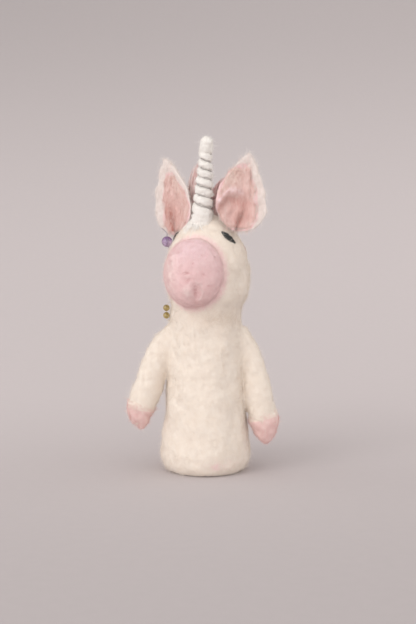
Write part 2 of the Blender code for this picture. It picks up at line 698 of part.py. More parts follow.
def build():
    clear_scene()
    parts = new_collection("finger_puppet")
    cutters = new_collection("cutters", hidden=True)
    cream = finish("cream_wool", CREAM, 0.95)
    pink = finish("pink_wool", PINK, 0.95)
    rose = finish("rose_wool", ROSE, 0.95)
    white = finish("white_wool", WHITE, 0.9)
    silver = finish("silver_thread", SILVER, 0.35, 0.8)
    black = finish("black_wool", BLACK, 0.85)
    purple = finish("purple_glass", PURPLE, 0.08)
    gold = finish("olive_glass", OLIVE_GOLD, 0.12)

    puppet = add_empty("puppet_frame", parts)
    head_frame = add_empty(
        "head_frame", parts, puppet, (HEAD_SIDE, 0.0, BODY_HEIGHT + HEAD_ABOVE_NECK), HEAD_TURN
    )

    add_sleeve(parts, puppet, cream)
    sleeve_cutter = add_sleeve_cutter(cutters, puppet)
    grown_head = ball_mesh("grown_head", *HEAD_SEGMENTS, lambda unit: head_shape(unit, SEAM_GAP))
    head_cutter = add_cutter("grown_head", grown_head, cutters, head_frame)
    head = add_part("head", ball_mesh("head", *HEAD_SEGMENTS, head_shape), parts, head_frame, cream)
    seat_on(head, sleeve_cutter)
    muzzle_mesh = ball_mesh("muzzle", *MUZZLE_SEGMENTS, muzzle_shape)
    muzzle = add_part("muzzle", muzzle_mesh, parts, head_frame, pink)
    seat_on(muzzle, head_cutter, sleeve_cutter)

    for name, azimuth in EYE_AZIMUTHS.items():
        mesh = ball_mesh(name, *EYE_SEGMENTS, lambda unit, turn=azimuth: eye_shape(unit, turn))
        add_part(name, mesh, parts, head_frame, black)

    for side in SIDES:
        u = np.linspace(*EAR_SPAN, EAR_RINGS[0])
        v = np.linspace(-1.0, 1.0, EAR_RINGS[1])
        shell = shell_mesh(f"{side}_ear", side, u, v, lambda v: -ear_half(v), ear_half)
        ear = add_part(f"{side}_ear", shell, parts, head_frame, cream)
        place_ear(ear, side)
        seat_on(ear, head_cutter)
        u = np.linspace(*LINING_SPAN, LINING_RINGS[0])
        v = np.linspace(-LINING_INNER_EDGE, 1.0 - LINING_RIM, LINING_RINGS[1])
        lining_mesh = shell_mesh(
            f"{side}_ear_lining",
            side,
            u,
            v,
            lambda v: ear_half(v) + SEAM_GAP,
            lambda v: ear_half(v) + SEAM_GAP + LINING_THICKNESS,
        )
        lining = add_part(f"{side}_ear_lining", lining_mesh, parts, head_frame, pink)
        place_ear(lining, side)
        seat_on(lining, head_cutter)

    horn = add_part("horn", horn_mesh("horn"), parts, head_frame, white)
    place_horn(horn)
    seat_on(horn, head_cutter)
    add_horn_thread(parts, head_frame, silver)

    add_mane(parts, cutters, head_frame, rose, [sleeve_cutter, head_cutter])

    for side in SIDES:
        add_arm(side, parts, puppet, cream, pink, sleeve_cutter)

    seat = on_head(PURPLE_BEAD_AZIMUTH, PURPLE_BEAD_LEVEL, SEAM_GAP + PURPLE_BEAD_DIAMETER / 2)
    add_bead("purple_bead", PURPLE_BEAD_DIAMETER, PURPLE_BEAD_HOLE, seat, parts, head_frame, purple)
    reach = NECK_RADIUS + SEAM_GAP + YELLOW_BEAD_DIAMETER / 2
    level = BODY_HEIGHT + YELLOW_BEAD_RISE
    for name in ("upper_yellow_bead", "lower_yellow_bead"):
        side = -math.sqrt(reach**2 - YELLOW_BEAD_FORWARD**2)
        place = (side, -YELLOW_BEAD_FORWARD, level)
        add_bead(name, YELLOW_BEAD_DIAMETER, YELLOW_BEAD_HOLE, place, parts, puppet, gold)
        level -= YELLOW_BEAD_DIAMETER + SEAM_GAP

    centre_on_box(puppet)


build()
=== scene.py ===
"""Looks of the needle-felted unicorn finger puppet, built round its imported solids.

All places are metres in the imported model's own space: +Z is up, the face looks to -Y and +X is
the puppet's own left. The puppet's axis is the middle of its sleeve, and the head has a space of
its own, turned a little to the puppet's right. Every surface is worked out as whole arrays.
"""

import logging
import math
from dataclasses import dataclass, field
from enum import Enum
from typing import Callable, ClassVar, Sequence

import bpy
import numpy as np
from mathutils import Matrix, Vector


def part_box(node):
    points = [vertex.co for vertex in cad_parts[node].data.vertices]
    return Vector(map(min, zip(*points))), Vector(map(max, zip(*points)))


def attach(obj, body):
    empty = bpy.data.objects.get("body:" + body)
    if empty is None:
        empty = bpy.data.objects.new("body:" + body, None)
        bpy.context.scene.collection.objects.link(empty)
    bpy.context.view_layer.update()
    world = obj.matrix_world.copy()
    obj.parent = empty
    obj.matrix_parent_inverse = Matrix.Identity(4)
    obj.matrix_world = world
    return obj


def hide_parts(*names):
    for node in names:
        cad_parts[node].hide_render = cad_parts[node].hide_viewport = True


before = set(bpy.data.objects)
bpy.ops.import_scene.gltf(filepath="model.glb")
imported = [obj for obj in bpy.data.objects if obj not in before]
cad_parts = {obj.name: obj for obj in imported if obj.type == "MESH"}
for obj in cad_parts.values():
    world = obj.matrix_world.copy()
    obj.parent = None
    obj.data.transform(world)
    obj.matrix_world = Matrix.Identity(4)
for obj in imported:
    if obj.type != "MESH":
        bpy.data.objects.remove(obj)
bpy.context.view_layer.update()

log = logging.getLogger("finger_puppet")

MM = 0.001
BODY = "root"

Points = np.ndarray
Colour = tuple[float, float, float]


def paint(red: float, green: float, blue: float) -> Colour:
    """Linear colour of a display colour given from 0 to 255."""
    return tuple((value / 255.0) ** 2.2 for value in (red, green, blue))


def paints(*shades: tuple[float, float, float]) -> tuple[Colour, ...]:
    """Several paints, each given by its three levels."""
    return tuple(paint(*shade) for shade in shades)


def unit(rows: Points) -> Points:
    """Rows of vectors, each brought to length 1."""
    return rows / np.maximum(np.linalg.norm(rows, axis=-1, keepdims=True), 1e-12)


def smooth_step(low: float, high: float, value: Points) -> Points:
    """0 below low, 1 above high, and the cubic 3t^2 - 2t^3 between them."""
    share = np.clip((value - low) / (high - low), 0.0, 1.0)
    return share * share * (3.0 - 2.0 * share)


def bump(value: Points, middle: float, reach: float) -> Points:
    """Bell curve exp(-((value - middle) / reach)^2)."""
    return np.exp(-(((value - middle) / reach) ** 2))


def spot(x: Points, z: Points, at: Points | float, up: float, wide: float, tall: float) -> Points:
    """Bell curve of two places round (at, up), wide and tall."""
    return np.exp(-(((x - at) / wide) ** 2) - ((z - up) / tall) ** 2)


def columns(*values: Points | float) -> Points:
    """Arrays, brought to one shape, side by side on a new last axis."""
    return np.stack(np.broadcast_arrays(*values), -1)


def ring_angles(sides: int) -> Points:
    """Angles of a ring's points, as a row."""
    return np.linspace(0.0, math.tau, sides, endpoint=False)[None, :]


def turned(radius: Points, height: Points, angle: Points) -> Points:
    """Places at a radius, a height and an angle round Z."""
    return columns(radius * np.cos(angle), radius * np.sin(angle), height)


def sections(middles: Points, across: Points, deep: Points, wide: Points, thick: Points) -> Points:
    """Rings set up at the middles of a path from their distances across and deep."""
    return middles[:, None] + across[:, None] * wide[..., None] + deep[:, None] * thick[..., None]


class Side(Enum):
    """The puppet's own sides, with the sign of X on each."""

    LEFT = 1.0
    RIGHT = -1.0

    @property
    def word(self) -> str:
        """The side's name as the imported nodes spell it."""
        return self.name.lower()


@dataclass(frozen=True)
class Space:
    """A space of its own inside the puppet's, as a 4 by 4 matrix."""

    matrix: Points

    @classmethod
    def at(cls, place: Sequence[float], turns: Sequence[float] = (0.0, 0.0, 0.0)) -> "Space":
        """Space at a place, turned about X, then Y, then Z by angles in degrees."""
        made = np.eye(4)
        for axis, angle in enumerate(np.radians(turns)):
            first, second = [other for other in range(3) if other != axis]
            if axis == 1:
                first, second = second, first
            turn = np.eye(4)
            turn[first, first] = turn[second, second] = math.cos(angle)
            turn[first, second] = -math.sin(angle)
            turn[second, first] = math.sin(angle)
            made = turn @ made
        made[:3, 3] = place
        return cls(made)

    def inside(self, outer: "Space") -> "Space":
        """This space, given in the outer one's terms, brought into the puppet's."""
        return Space(outer.matrix @ self.matrix)

    def put(self, points: Points) -> Points:
        """Points of this space in the puppet's."""
        return points @ self.matrix[:3, :3].T + self.matrix[:3, 3]

    def take(self, points: Points) -> Points:
        """Points of the puppet's space in this one."""
        return (points - self.matrix[:3, 3]) @ self.matrix[:3, :3]


@dataclass(frozen=True)
class Lumps:
    """Unevenness of hand-felted wool: the sum of plane waves in seeded random directions.

    height(p) = height / sqrt(count / 2) * sum of sin(direction . p * tau / wavelength + phase)
    """

    wavelength: float
    height: float
    seed: int
    count: int = 18

    def at(self, points: Points) -> Points:
        """Heights at the points."""
        rng = np.random.default_rng(self.seed)
        stretch = rng.uniform(0.7, 1.4, (self.count, 1))
        waves = unit(rng.normal(size=(self.count, 3))) * stretch * math.tau / self.wavelength
        phases = rng.uniform(0.0, math.tau, self.count)
        total = np.sin(points.reshape(-1, 3) @ waves.T + phases).sum(axis=1)
        return (self.height * total / math.sqrt(self.count / 2)).reshape(points.shape[:-1])

COARSE = Lumps(9.0 * MM, 0.2 * MM, 11)  # the solids of the sleeve and the head have it too


def lumps_at(points: Points, *waves: tuple[float, float, int]) -> Points:
    """Sum of lumps, each given as (wavelength, height, seed) with its lengths in millimetres."""
    return sum(Lumps(length * MM, height * MM, seed).at(points) for length, height, seed in waves)


@dataclass
class Skin:
    """A surface as arrays: points, faces of four and of three corners, and values on the points."""

    points: Points
    quads: Points
    tris: Points
    values: dict[str, Points] = field(default_factory=dict)
    corner_uv: Points | None = None
    rounded: bool = True

    @classmethod
    def tube(cls, rings: Points, start: Points, end: Points) -> "Skin":
        """Closed skin over rings of equal count, with a fan to the start and to the end point.

        Args:
            rings: array (rows, sides, 3), each row a closed ring.
            start: the pole before the first ring.
            end: the pole after the last ring.

        Returns:
            The skin, with its faces pointing out.
        """
        rows, sides, _ = rings.shape
        number = np.arange(rows * sides).reshape(rows, sides)
        after = np.roll(number, -1, axis=1)
        quads = columns(number[:-1], after[:-1], after[1:], number[1:]).reshape(-1, 4)
        first, last = rows * sides, rows * sides + 1
        tris = np.concatenate([columns(first, after[0], number[0]), columns(last, number[-1], after[-1])])
        points = np.concatenate([rings.reshape(-1, 3), [start], [end]])
        return cls(points, quads, tris).facing_out()

    @classmethod
    def ball(cls, rows: int, sides: int) -> "Skin":
        """Unit ball: rings at equal steps of latitude between the poles on Z."""
        latitude = np.linspace(0.0, math.pi, rows + 2)[1:-1, None]
        rings = turned(np.sin(latitude), np.cos(latitude), ring_angles(sides))
        return cls.tube(rings, np.array([0.0, 0.0, 1.0]), np.array([0.0, 0.0, -1.0]))

    @classmethod
    def joined(cls, skins: Sequence["Skin"]) -> "Skin":
        """Several skins as one, each still closed by itself."""
        starts = np.cumsum([0] + [len(skin.points) for skin in skins])
        quads, tris = (
            np.concatenate([getattr(skin, kind) + start for skin, start in zip(skins, starts)])
            for kind in ("quads", "tris")
        )
        names = set.intersection(*[set(skin.values) for skin in skins])
        values = {name: np.concatenate([skin.values[name] for skin in skins]) for name in names}
        return cls(np.concatenate([skin.points for skin in skins]), quads, tris, values)

    def triangles(self) -> Points:
        """All faces as triangles."""
        halves = [self.quads[:, [0, 1, 2]], self.quads[:, [0, 2, 3]], self.tris]
        return np.concatenate(halves).astype(int)

    def corner_points(self) -> tuple[Points, Points, Points]:
        """Points of the triangles' first, second and third corners."""
        corners = self.triangles()
        return tuple(self.points[corners[:, k]] for k in range(3))

    def facing_out(self) -> "Skin":
        """The same closed skin with its faces turned so that its volume is positive."""
        a, b, c = self.corner_points()
        if np.einsum("ij,ij->i", a, np.cross(b, c)).sum() < 0.0:
            return Skin(self.points, self.quads[:, ::-1], self.tris[:, ::-1], self.values)
        return self

    def normals(self) -> Points:
        """Normals of the points, each the area-weighted mean of the faces round it."""
        corners = self.triangles()
        a, b, c = self.corner_points()
        faces = np.cross(b - a, c - a)
        count = len(self.points)
        return unit(
            columns(*(sum(np.bincount(corners[:, k], faces[:, axis], count) for k in range(3)) for axis in range(3)))
        )

    def moved(self, points: Points) -> "Skin":
        """The same faces over other points."""
        return Skin(points, self.quads, self.tris, self.values, self.corner_uv)

    def set_in(self, space: Space) -> "Skin":
        """The skin of a space brought into the puppet's."""
        return self.moved(space.put(self.points))

    def valued(self, points: Points, **values: Points) -> "Skin":
        """The same faces over other points, with other values on them."""
        return Skin(points, self.quads, self.tris, values)

    def raised(self, height: Points) -> "Skin":
        """Each point moved along its normal."""
        return self.moved(self.points + self.normals() * np.asarray(height)[..., None])

    def lumpy(self, *waves: tuple[float, float, int]) -> "Skin":
        """Raised by the sum of lumps given as (wavelength, height, seed)."""
        return self.raised(lumps_at(self.points, *waves))

    def relaxed(self, rounds: int, share: Points | float = 1.0) -> "Skin":
        """Each point drawn towards the mean of its neighbours.

        Args:
            rounds: how often.
            share: how much of the way each point goes, from 0 to 1.

        Returns:
            The smoother skin.
        """
        loops = [columns(f, np.roll(f, -1, axis=1)).reshape(-1, 2) for f in (self.quads, self.tris)]
        edges = np.concatenate(loops)
        edges = np.concatenate([edges, edges[:, ::-1]])
        count = np.maximum(np.bincount(edges[:, 0], minlength=len(self.points)), 1)
        points = self.points.copy()
        pull = 0.6 * np.broadcast_to(share, len(points))[:, None]
        for _ in range(rounds):
            mean = columns(
                *(np.bincount(edges[:, 0], points[edges[:, 1], axis], len(points)) / count for axis in range(3))
            )
            points += (mean - points) * pull
        return self.moved(points)

    def scattered(
        self, count: int, rng: np.random.Generator, weight: Callable[[Points, Points], Points] | None = None
    ) -> tuple[Points, Points]:
        """Random places on the skin, as many on each square millimetre as the weight asks.

        Args:
            count: number of places.
            rng: seeded source.
            weight: share from 0 to 1 for arrays of middles and normals of the faces.

        Returns:
            The places and the normals there.
        """
        corners = self.triangles()
        a, b, c = self.corner_points()
        cross = np.cross(b - a, c - a)
        area = np.linalg.norm(cross, axis=1)
        normals = unit(cross)
        if weight is not None:
            area = area * np.clip(weight((a + b + c) / 3.0, normals), 0.0, 1.0)
        face = rng.choice(len(corners), count, p=area / area.sum())
        first, second = np.sqrt(rng.random(count))[:, None], rng.random(count)[:, None]
        places = a[face] * (1 - first) + b[face] * first * (1 - second) + c[face] * first * second
        point_normals = self.normals()
        mixed = sum(point_normals[corners[face, k]] for k in range(3))
        return places, unit(mixed)

    def mesh(self, name: str) -> bpy.types.Mesh:
        """The skin as a mesh with its values as point attributes."""
        made = bpy.data.meshes.new(name)
        quads, tris = self.quads.astype(np.int32), self.tris.astype(np.int32)
        corners = np.concatenate([quads.ravel(), tris.ravel()])
        sizes = np.concatenate([np.full(len(quads), 4), np.full(len(tris), 3)]).astype(np.int32)
        starts = np.concatenate([[0], np.cumsum(sizes)[:-1]]).astype(np.int32)
        made.vertices.add(len(self.points))
        made.vertices.foreach_set("co", self.points.astype(np.float32).ravel())
        made.loops.add(len(corners))
        made.loops.foreach_set("vertex_index", corners)
        made.polygons.add(len(sizes))
        made.polygons.foreach_set("loop_start", starts)
        made.polygons.foreach_set("use_smooth", np.full(len(sizes), self.rounded))
        for label, value in self.values.items():
            held = made.attributes.new(label, "FLOAT", "POINT")
            held.data.foreach_set("value", value.astype(np.float32))
        if self.corner_uv is not None:
            layer = made.uv_layers.new(name="OFBake")
            layer.data.foreach_set("uv", self.corner_uv.astype(np.float32).ravel())
        made.update(calc_edges=True)
        made.validate()
        return made


def add_piece(
    name: str, skin: Skin, finish: bpy.types.Material, stands_for: Sequence[str] = ()
) -> bpy.types.Object:
    """Makes an object of a skin, rides it on the puppet's body and reports it.

    Args:
        name: the piece's name.
        skin: its surface, in the puppet's space.
        finish: its material.
        stands_for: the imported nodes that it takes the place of.

    Returns:
        The object.
    """
    mesh = skin.mesh(name)
    mesh.materials.append(finish)
    piece = bpy.data.objects.new(name, mesh)
    bpy.context.scene.collection.objects.link(piece)
    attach(piece, BODY)
    if stands_for:
        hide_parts(*stands_for)
    log.info("%s: %d faces", name, len(mesh.polygons))
    return piece


def felted_together(skins: Sequence[Skin], grain: float) -> Skin:
    """One closed skin round several that run into each other, on a fine regular grid.

    Args:
        skins: closed skins that overlap.
        grain: size of the grid.

    Returns:
        The outer skin of them all, in faces of four corners.
    """
    mesh = Skin.joined(skins).mesh("felting")
    item = bpy.data.objects.new("felting", mesh)
    bpy.context.scene.collection.objects.link(item)
    grid = item.modifiers.new("grid", "REMESH")
    grid.mode = "VOXEL"
    grid.voxel_size = grain
    drawn = item.evaluated_get(bpy.context.evaluated_depsgraph_get())
    merged = drawn.to_mesh()
    points = np.empty(len(merged.vertices) * 3, np.float32)
    merged.vertices.foreach_get("co", points)
    corners = np.empty(len(merged.loops), np.int32)
    merged.loops.foreach_get("vertex_index", corners)
    drawn.to_mesh_clear()
    bpy.data.objects.remove(item)
    bpy.data.meshes.remove(mesh)
    return Skin(points.reshape(-1, 3).astype(float), corners.reshape(-1, 4), np.empty((0, 3), int)).facing_out()


def smooth_route(points: Points, steps: int = 16) -> tuple[Points, Points]:
    """Rows along a Catmull-Rom curve through the rows of points, and the distance along it.

    Between b and c, with a before and d after them, and t from 0 to 1, a row is
    (2b + (c - a)t + (2a - 5b + 4c - d)t^2 + (3b - a - 3c + d)t^3) / 2.
    """
    ends = np.vstack([2 * points[0] - points[1], points, 2 * points[-1] - points[-2]])
    t = np.linspace(0.0, 1.0, steps, endpoint=False)[None, :, None]
    a, b, c, d = (ends[k : len(ends) - 3 + k, None] for k in range(4))
    spans = 0.5 * (2 * b + (c - a) * t + (2 * a - 5 * b + 4 * c - d) * t**2 + (3 * b - a - 3 * c + d) * t**3)
    dense = np.vstack([spans.reshape(-1, points.shape[1]), points[-1:]])
    along = np.concatenate([[0.0], np.cumsum(np.linalg.norm(np.diff(dense[:, :3], axis=0), axis=1))])
    return dense, along


def swept(middles: Points, half_across: Points, half_deep: Points, sides: int) -> Skin:
    """Oval sections carried along a path, each with its width as near to X as it can be.

    Args:
        middles: points of the path.
        half_across: half width of each section.
        half_deep: half depth of each section.
        sides: points in a section.

    Returns:
        The closed skin.
    """
    tangents = unit(np.gradient(middles, axis=0))
    deep = unit(np.cross(tangents, (1.0, 0.0, 0.0)))
    across = np.cross(deep, tangents)
    angle = ring_angles(sides)
    wide, thick = half_across[:, None] * np.cos(angle), half_deep[:, None] * np.sin(angle)
    return Skin.tube(sections(middles, across, deep, wide, thick), middles[0], middles[-1])


@dataclass
class Fuzz:
    """Loose fibre ends on a felted surface, each a three-sided spike with one bend.

    A fibre leaves its root along tangent * cos(lift) + normal * sin(lift), and its second half
    turns by a random bend. One of its three sides faces outwards, so that light falls on it as on
    the wool round it. Its U in the OFBake map is its tint and its V runs to its tip.
    """

    count: int
    length: float
    seed: int
    half_width: float = 0.026 * MM
    lift: float = 5.0
    lift_spread: float = 5.0
    bend: float = 0.45
    grain: tuple[float, float, float] | None = None
    stray: float = 1.0
    flyaway_share: float = 0.06

    # A fibre has three points at its root, three at its bend and one at its tip.
    PATTERN: ClassVar[Points] = np.array(
        [
            [0, 1, 4], [0, 4, 3], [1, 2, 5], [1, 5, 4], [2, 0, 3],
            [2, 3, 5], [3, 4, 6], [4, 5, 6], [5, 3, 6], [0, 2, 1],
        ]
    )
    LEVELS: ClassVar[Points] = np.array([0.02, 0.02, 0.03, 0.5, 0.5, 0.51, 0.98])
    SWAY: ClassVar[Points] = np.array([-0.006, 0.0, 0.006, -0.006, 0.0, 0.006, 0.0])

    def grown(
        self,
        skin: Skin,
        tint: Callable[[Points], Points] | float,
        weight: Callable[[Points, Points], Points] | None = None,
    ) -> Skin:
        """Fibres rooted on a skin.

        Args:
            skin: what they grow on.
            tint: share from 0 to 1, the middle of each fibre's tint, or one for an array of roots.
            weight: how densely they stand, for arrays of middles and normals of faces.

        Returns:
            All the fibres as one skin.
        """
        rng = np.random.default_rng(self.seed)
        roots, normals = skin.scattered(self.count, rng, weight)
        heading = unit(rng.normal(size=roots.shape)) * self.stray
        if self.grain is not None:
            heading = heading + np.asarray(self.grain) * rng.choice([-1.0, 1.0], (self.count, 1))
        heading = unit(heading - normals * np.einsum("ij,ij->i", heading, normals)[:, None])
        flyaway = rng.random(self.count) < self.flyaway_share
        lift = np.radians(self.lift + self.lift_spread * rng.normal(size=self.count))
        lift = np.where(flyaway, np.radians(rng.uniform(20.0, 65.0, self.count)), lift)[:, None]
        length = self.length * np.exp(0.35 * rng.normal(size=(self.count, 1)))
        first = heading * np.cos(lift) + normals * np.sin(lift)
        bend = self.bend * (1.0 + flyaway[:, None]) * rng.normal(size=roots.shape)
        second = unit(first + bend - normals * 0.25)
        middles = roots + first * length * 0.5
        tips = middles + second * length * 0.5
        half = self.half_width * np.where(flyaway, 0.7, 1.0)[:, None]
        side = unit(np.cross(first, normals + 1e-6))
        over = np.cross(side, first)
        turns = np.radians([30.0, 150.0, 270.0])
        ring = side[:, None] * np.cos(turns)[:, None] + over[:, None] * np.sin(turns)[:, None]
        base = (roots - normals * self.half_width)[:, None] + ring * half[:, None]
        bent = middles[:, None] + ring * (0.8 * half)[:, None]
        points = np.concatenate([base, bent, tips[:, None]], axis=1)
        points[..., 2] = np.abs(points[..., 2])
        start = np.arange(self.count)[:, None, None] * len(self.LEVELS)
        tris = (start + self.PATTERN[None]).reshape(-1, 3)
        middle_tint = tint(roots) if callable(tint) else tint
        hue = np.clip(middle_tint + 0.07 * rng.normal(size=self.count), 0.02, 0.98)
        across = (hue[:, None] + self.SWAY)[:, self.PATTERN].reshape(-1)
        up = np.broadcast_to(self.LEVELS[self.PATTERN], (self.count, *self.PATTERN.shape)).reshape(-1)
        corner_uv = columns(across, up)
        return Skin(points.reshape(-1, 3), np.empty((0, 4), int), tris, corner_uv=corner_uv, rounded=False)


class Value:
    """A shader socket that takes part in Python arithmetic."""

    def __init__(self, book: "NodeBook", socket: bpy.types.NodeSocket) -> None:
        """Wraps one output socket of a material's tree."""
        self.book = book
        self.socket = socket

    def __add__(self, other: "Value | float") -> "Value":
        """Sum."""
        return self.book.maths("ADD", self, other)

    __radd__ = __add__

    def __sub__(self, other: "Value | float") -> "Value":
        """Difference."""
        return self.book.maths("SUBTRACT", self, other)

    def __rsub__(self, other: "Value | float") -> "Value":
        """Difference from a number."""
        return self.book.maths("SUBTRACT", other, self)

    def __mul__(self, other: "Value | float") -> "Value":
        """Product."""
        return self.book.maths("MULTIPLY", self, other)

    __rmul__ = __mul__

    def larger(self, other: "Value | float") -> "Value":
        """The larger of two values."""
        return self.book.maths("MAXIMUM", self, other)

    def stepped(self, low: float, high: float) -> "Value":
        """0 at low and 1 at high, with a smooth rise between them."""
        return self.book.node(
            "ShaderNodeMapRange",
            {"interpolation_type": "SMOOTHSTEP", "clamp": True},
            {0: self, 1: low, 2: high, 3: 0.0, 4: 1.0},
        )


class NodeBook:
    """A material's node tree, with one method that adds any node."""

    def __init__(self, name: str) -> None:
        """Starts an empty material whose shader is Principled."""
        self.material = bpy.data.materials.new(name)
        self.material.use_nodes = True
        self.tree = self.material.node_tree
        self.shader = self.tree.nodes["Principled BSDF"]

    def set(self, socket: bpy.types.NodeSocket, value: "Value | float | Sequence[float]") -> None:
        """Links a value to a socket, or writes a constant on it."""
        if isinstance(value, Value):
            self.tree.links.new(value.socket, socket)
        elif socket.type == "RGBA":
            socket.default_value = (*value[:3], 1.0)
        else:
            socket.default_value = value

    def node(self, kind: str, settings: dict, inputs: dict, out: int | str = 0) -> Value:
        """Adds a node.

        Args:
            kind: Blender's type name.
            settings: attributes of the node, set first.
            inputs: values or links, by socket name or number.
            out: the output that is wanted.

        Returns:
            That output.
        """
        made = self.tree.nodes.new(kind)
        for key, value in settings.items():
            setattr(made, key, value)
        for key, value in inputs.items():
            self.set(made.inputs[key], value)
        return Value(self, made.outputs[out])

    def maths(self, operation: str, *terms: "Value | float") -> Value:
        """Adds a Math node."""
        return self.node("ShaderNodeMath", {"operation": operation}, dict(enumerate(terms)))

    def place(self) -> Value:
        """Object coordinates, in metres."""
        return self.node("ShaderNodeTexCoord", {}, {}, "Object")

    def axes(self, place: Value) -> list[Value]:
        """The three axes of a place."""
        outputs = self.node("ShaderNodeSeparateXYZ", {}, {0: place}).socket.node.outputs
        return [Value(self, output) for output in outputs]

    def stretched(self, place: Value, factors: Sequence[float]) -> Value:
        """Coordinates multiplied axis by axis."""
        return self.node("ShaderNodeVectorMath", {"operation": "MULTIPLY"}, {0: place, 1: factors})

    def noise(self, place: Value, size: float, detail: float = 3.0, warp: float = 0.0) -> Value:
        """Soft noise whose features are about the given size."""
        return self.node(
            "ShaderNodeTexNoise", {}, {"Vector": place, "Scale": 1.0 / size, "Detail": detail, "Distortion": warp}
        )

    def cells(self, place: Value, size: float) -> Value:
        """Distance to the nearest of scattered points, in cells of the given size."""
        return self.node("ShaderNodeTexVoronoi", {}, {"Vector": place, "Scale": 1.0 / size}, "Distance")

    def held(self, name: str) -> Value:
        """A value kept on the piece's points."""
        return self.node("ShaderNodeAttribute", {"attribute_name": name}, {}, "Fac")

    def mixed(self, first: "Value | Colour", second: "Value | Colour", share: "Value | float") -> Value:
        """Colour between two others."""
        return self.node(
            "ShaderNodeMix", {"data_type": "RGBA", "clamp_factor": True}, {0: share, 6: first, 7: second}, 2
        )

    def raised(self, height: Value, depth: float, strength: float) -> Value:
        """Normal bent by a height from 0 to 1 that stands for the given depth."""
        return self.node("ShaderNodeBump", {}, {"Strength": strength, "Distance": depth, "Height": height})
    def dress(self, **inputs: "Value | float | Sequence[float]") -> bpy.types.Material:
        """Sets the shader's sockets, named with _ for a space, and returns the material."""
        for key, value in inputs.items():
            self.set(self.shader.inputs[key.replace("_", " ")], value)
        return self.material

    def felted(
        self, colour: Value, height: Value, relief: float,
        roughness: float = 0.92, shine: float = 0.15, sheen: float = 0.25,
    ) -> bpy.types.Material:
        """Dresses the material as wool.

        Args:
            colour: the wool's colour.
            height: height of its fibres, from 0 to 1.
            relief: what a height of 1 stands for.
            roughness: of the wool.
            shine: its specular level.
            sheen: weight of its sheen.

        Returns:
            The material.
        """
        return self.dress(
            Base_Color=colour,
            Roughness=roughness,
            Specular_IOR_Level=shine,
            Sheen_Weight=sheen,
            Sheen_Roughness=0.5,
            Normal=self.raised(height, relief, 0.7),
        )


@dataclass(frozen=True)
class WoolFinish:
    """Needle-felted wool: tangled fibres, soft mottling and needle pits darkened as painted shade.

    The colour goes from the plain one towards the second one by the piece's own value, if it
    has such a value, and towards a darker brownish beige by a value that holds painted shadow.
    """

    name: str
    plain: Colour
    shade: Colour
    second: Colour | None = None
    second_shade: Colour | None = None
    value: str = ""
    edge: tuple[float, float] = (0.25, 0.75)
    mottling: float = 0.4
    pits: float = 0.15
    relief: float = 0.1 * MM
    sheen: float = 0.25
    roughness: float = 0.92
    shine: float = 0.15
    # name of the value that holds painted shadow, drawn in a darker brownish beige
    tan: str = ""

    def build(self) -> bpy.types.Material:
        """The finish as a material."""
        book = NodeBook(self.name)
        place = book.place()
        cloud = book.noise(place, 3.6 * MM, 3.0)
        curl = book.noise(place, 1.3 * MM, 4.0, 1.2)
        upright = book.noise(book.stretched(place, (1.0, 1.0, 0.22)), 0.34 * MM, 2.0, 0.6)
        level = book.noise(book.stretched(place, (0.25, 0.25, 1.0)), 0.34 * MM, 2.0, 0.6)
        strands = upright.larger(level)
        pit = 1.0 - book.cells(place, 2.3 * MM).stepped(0.04, 0.16)
        blotch = (cloud * 0.6 + curl * 0.4).stepped(0.36, 0.66)
        fibre = strands.stepped(0.42, 0.72)
        # the pits darken the colour as painted shade in them
        dark = blotch * self.mottling * (1.0 - fibre * 0.45) + pit * self.pits * 0.35
        colour = book.mixed(self.plain, self.shade, dark)
        if self.second is not None:
            border = (book.held(self.value) + (curl - 0.5) * 0.55 + (strands - 0.5) * 0.25).stepped(*self.edge)
            colour = book.mixed(colour, book.mixed(self.second, self.second_shade, dark), border)
        # painted shadow: the colour is drawn towards a darker brownish beige where that value is high
        if self.tan:
            colour = book.mixed(colour, CHIN_SHADOW_PAINT, book.held(self.tan) * 0.55)
        height = strands * 0.6 + curl * 0.4 - pit * self.pits * 0.5
        return book.felted(colour, height, self.relief, self.roughness, self.shine, self.sheen)


@dataclass(frozen=True)
class FibreFinish:
    """Loose wool fibres: U of the OFBake map picks the tint, V runs from the root to the tip."""

    name: str
    tints: tuple[Colour, ...]
    root_shade: float = 0.95
    roughness: float = 0.85

    def build(self) -> bpy.types.Material:
        """The finish as a material."""
        book = NodeBook(self.name)
        across, up, _ = book.axes(book.node("ShaderNodeUVMap", {"uv_map": "OFBake"}, {}))
        ramp = book.tree.nodes.new("ShaderNodeValToRGB")
        stops = ramp.color_ramp.elements
        for index, tint in enumerate(self.tints):
            place = index / max(len(self.tints) - 1, 1)
            stop = stops[index] if index < 2 else stops.new(place)
            stop.position = place
            stop.color = (*tint, 1.0)
        book.set(ramp.inputs[0], across)
        tint = Value(book, ramp.outputs[0])
        root = book.mixed((0.0, 0.0, 0.0), tint, self.root_shade)
        return book.dress(
            Base_Color=book.mixed(root, tint, up.stepped(0.0, 0.7)),
            Roughness=self.roughness,
            Specular_IOR_Level=0.2,
            Sheen_Weight=0.2,
            Sheen_Roughness=0.4,
        )


@dataclass(frozen=True)
class ThreadFinish:
    """Twisted metallic sewing thread: fine slanting plies, partly bright."""

    name: str
    plain: Colour
    shade: Colour
    metallic: float

    def build(self) -> bpy.types.Material:
        """The finish as a material."""
        book = NodeBook(self.name)
        place = book.place()
        ply = book.noise(book.stretched(place, (1.0, 1.0, 0.5)), 0.16 * MM, 2.0, 0.4)
        glint = book.noise(place, 0.45 * MM, 2.0)
        return book.dress(
            Base_Color=book.mixed(self.shade, self.plain, ply.stepped(0.35, 0.65)),
            Roughness=0.55 - glint.stepped(0.45, 0.7) * 0.25,
            Metallic=glint.stepped(0.4, 0.6) * self.metallic,
            Normal=book.raised(ply, 0.05 * MM, 0.6),
        )


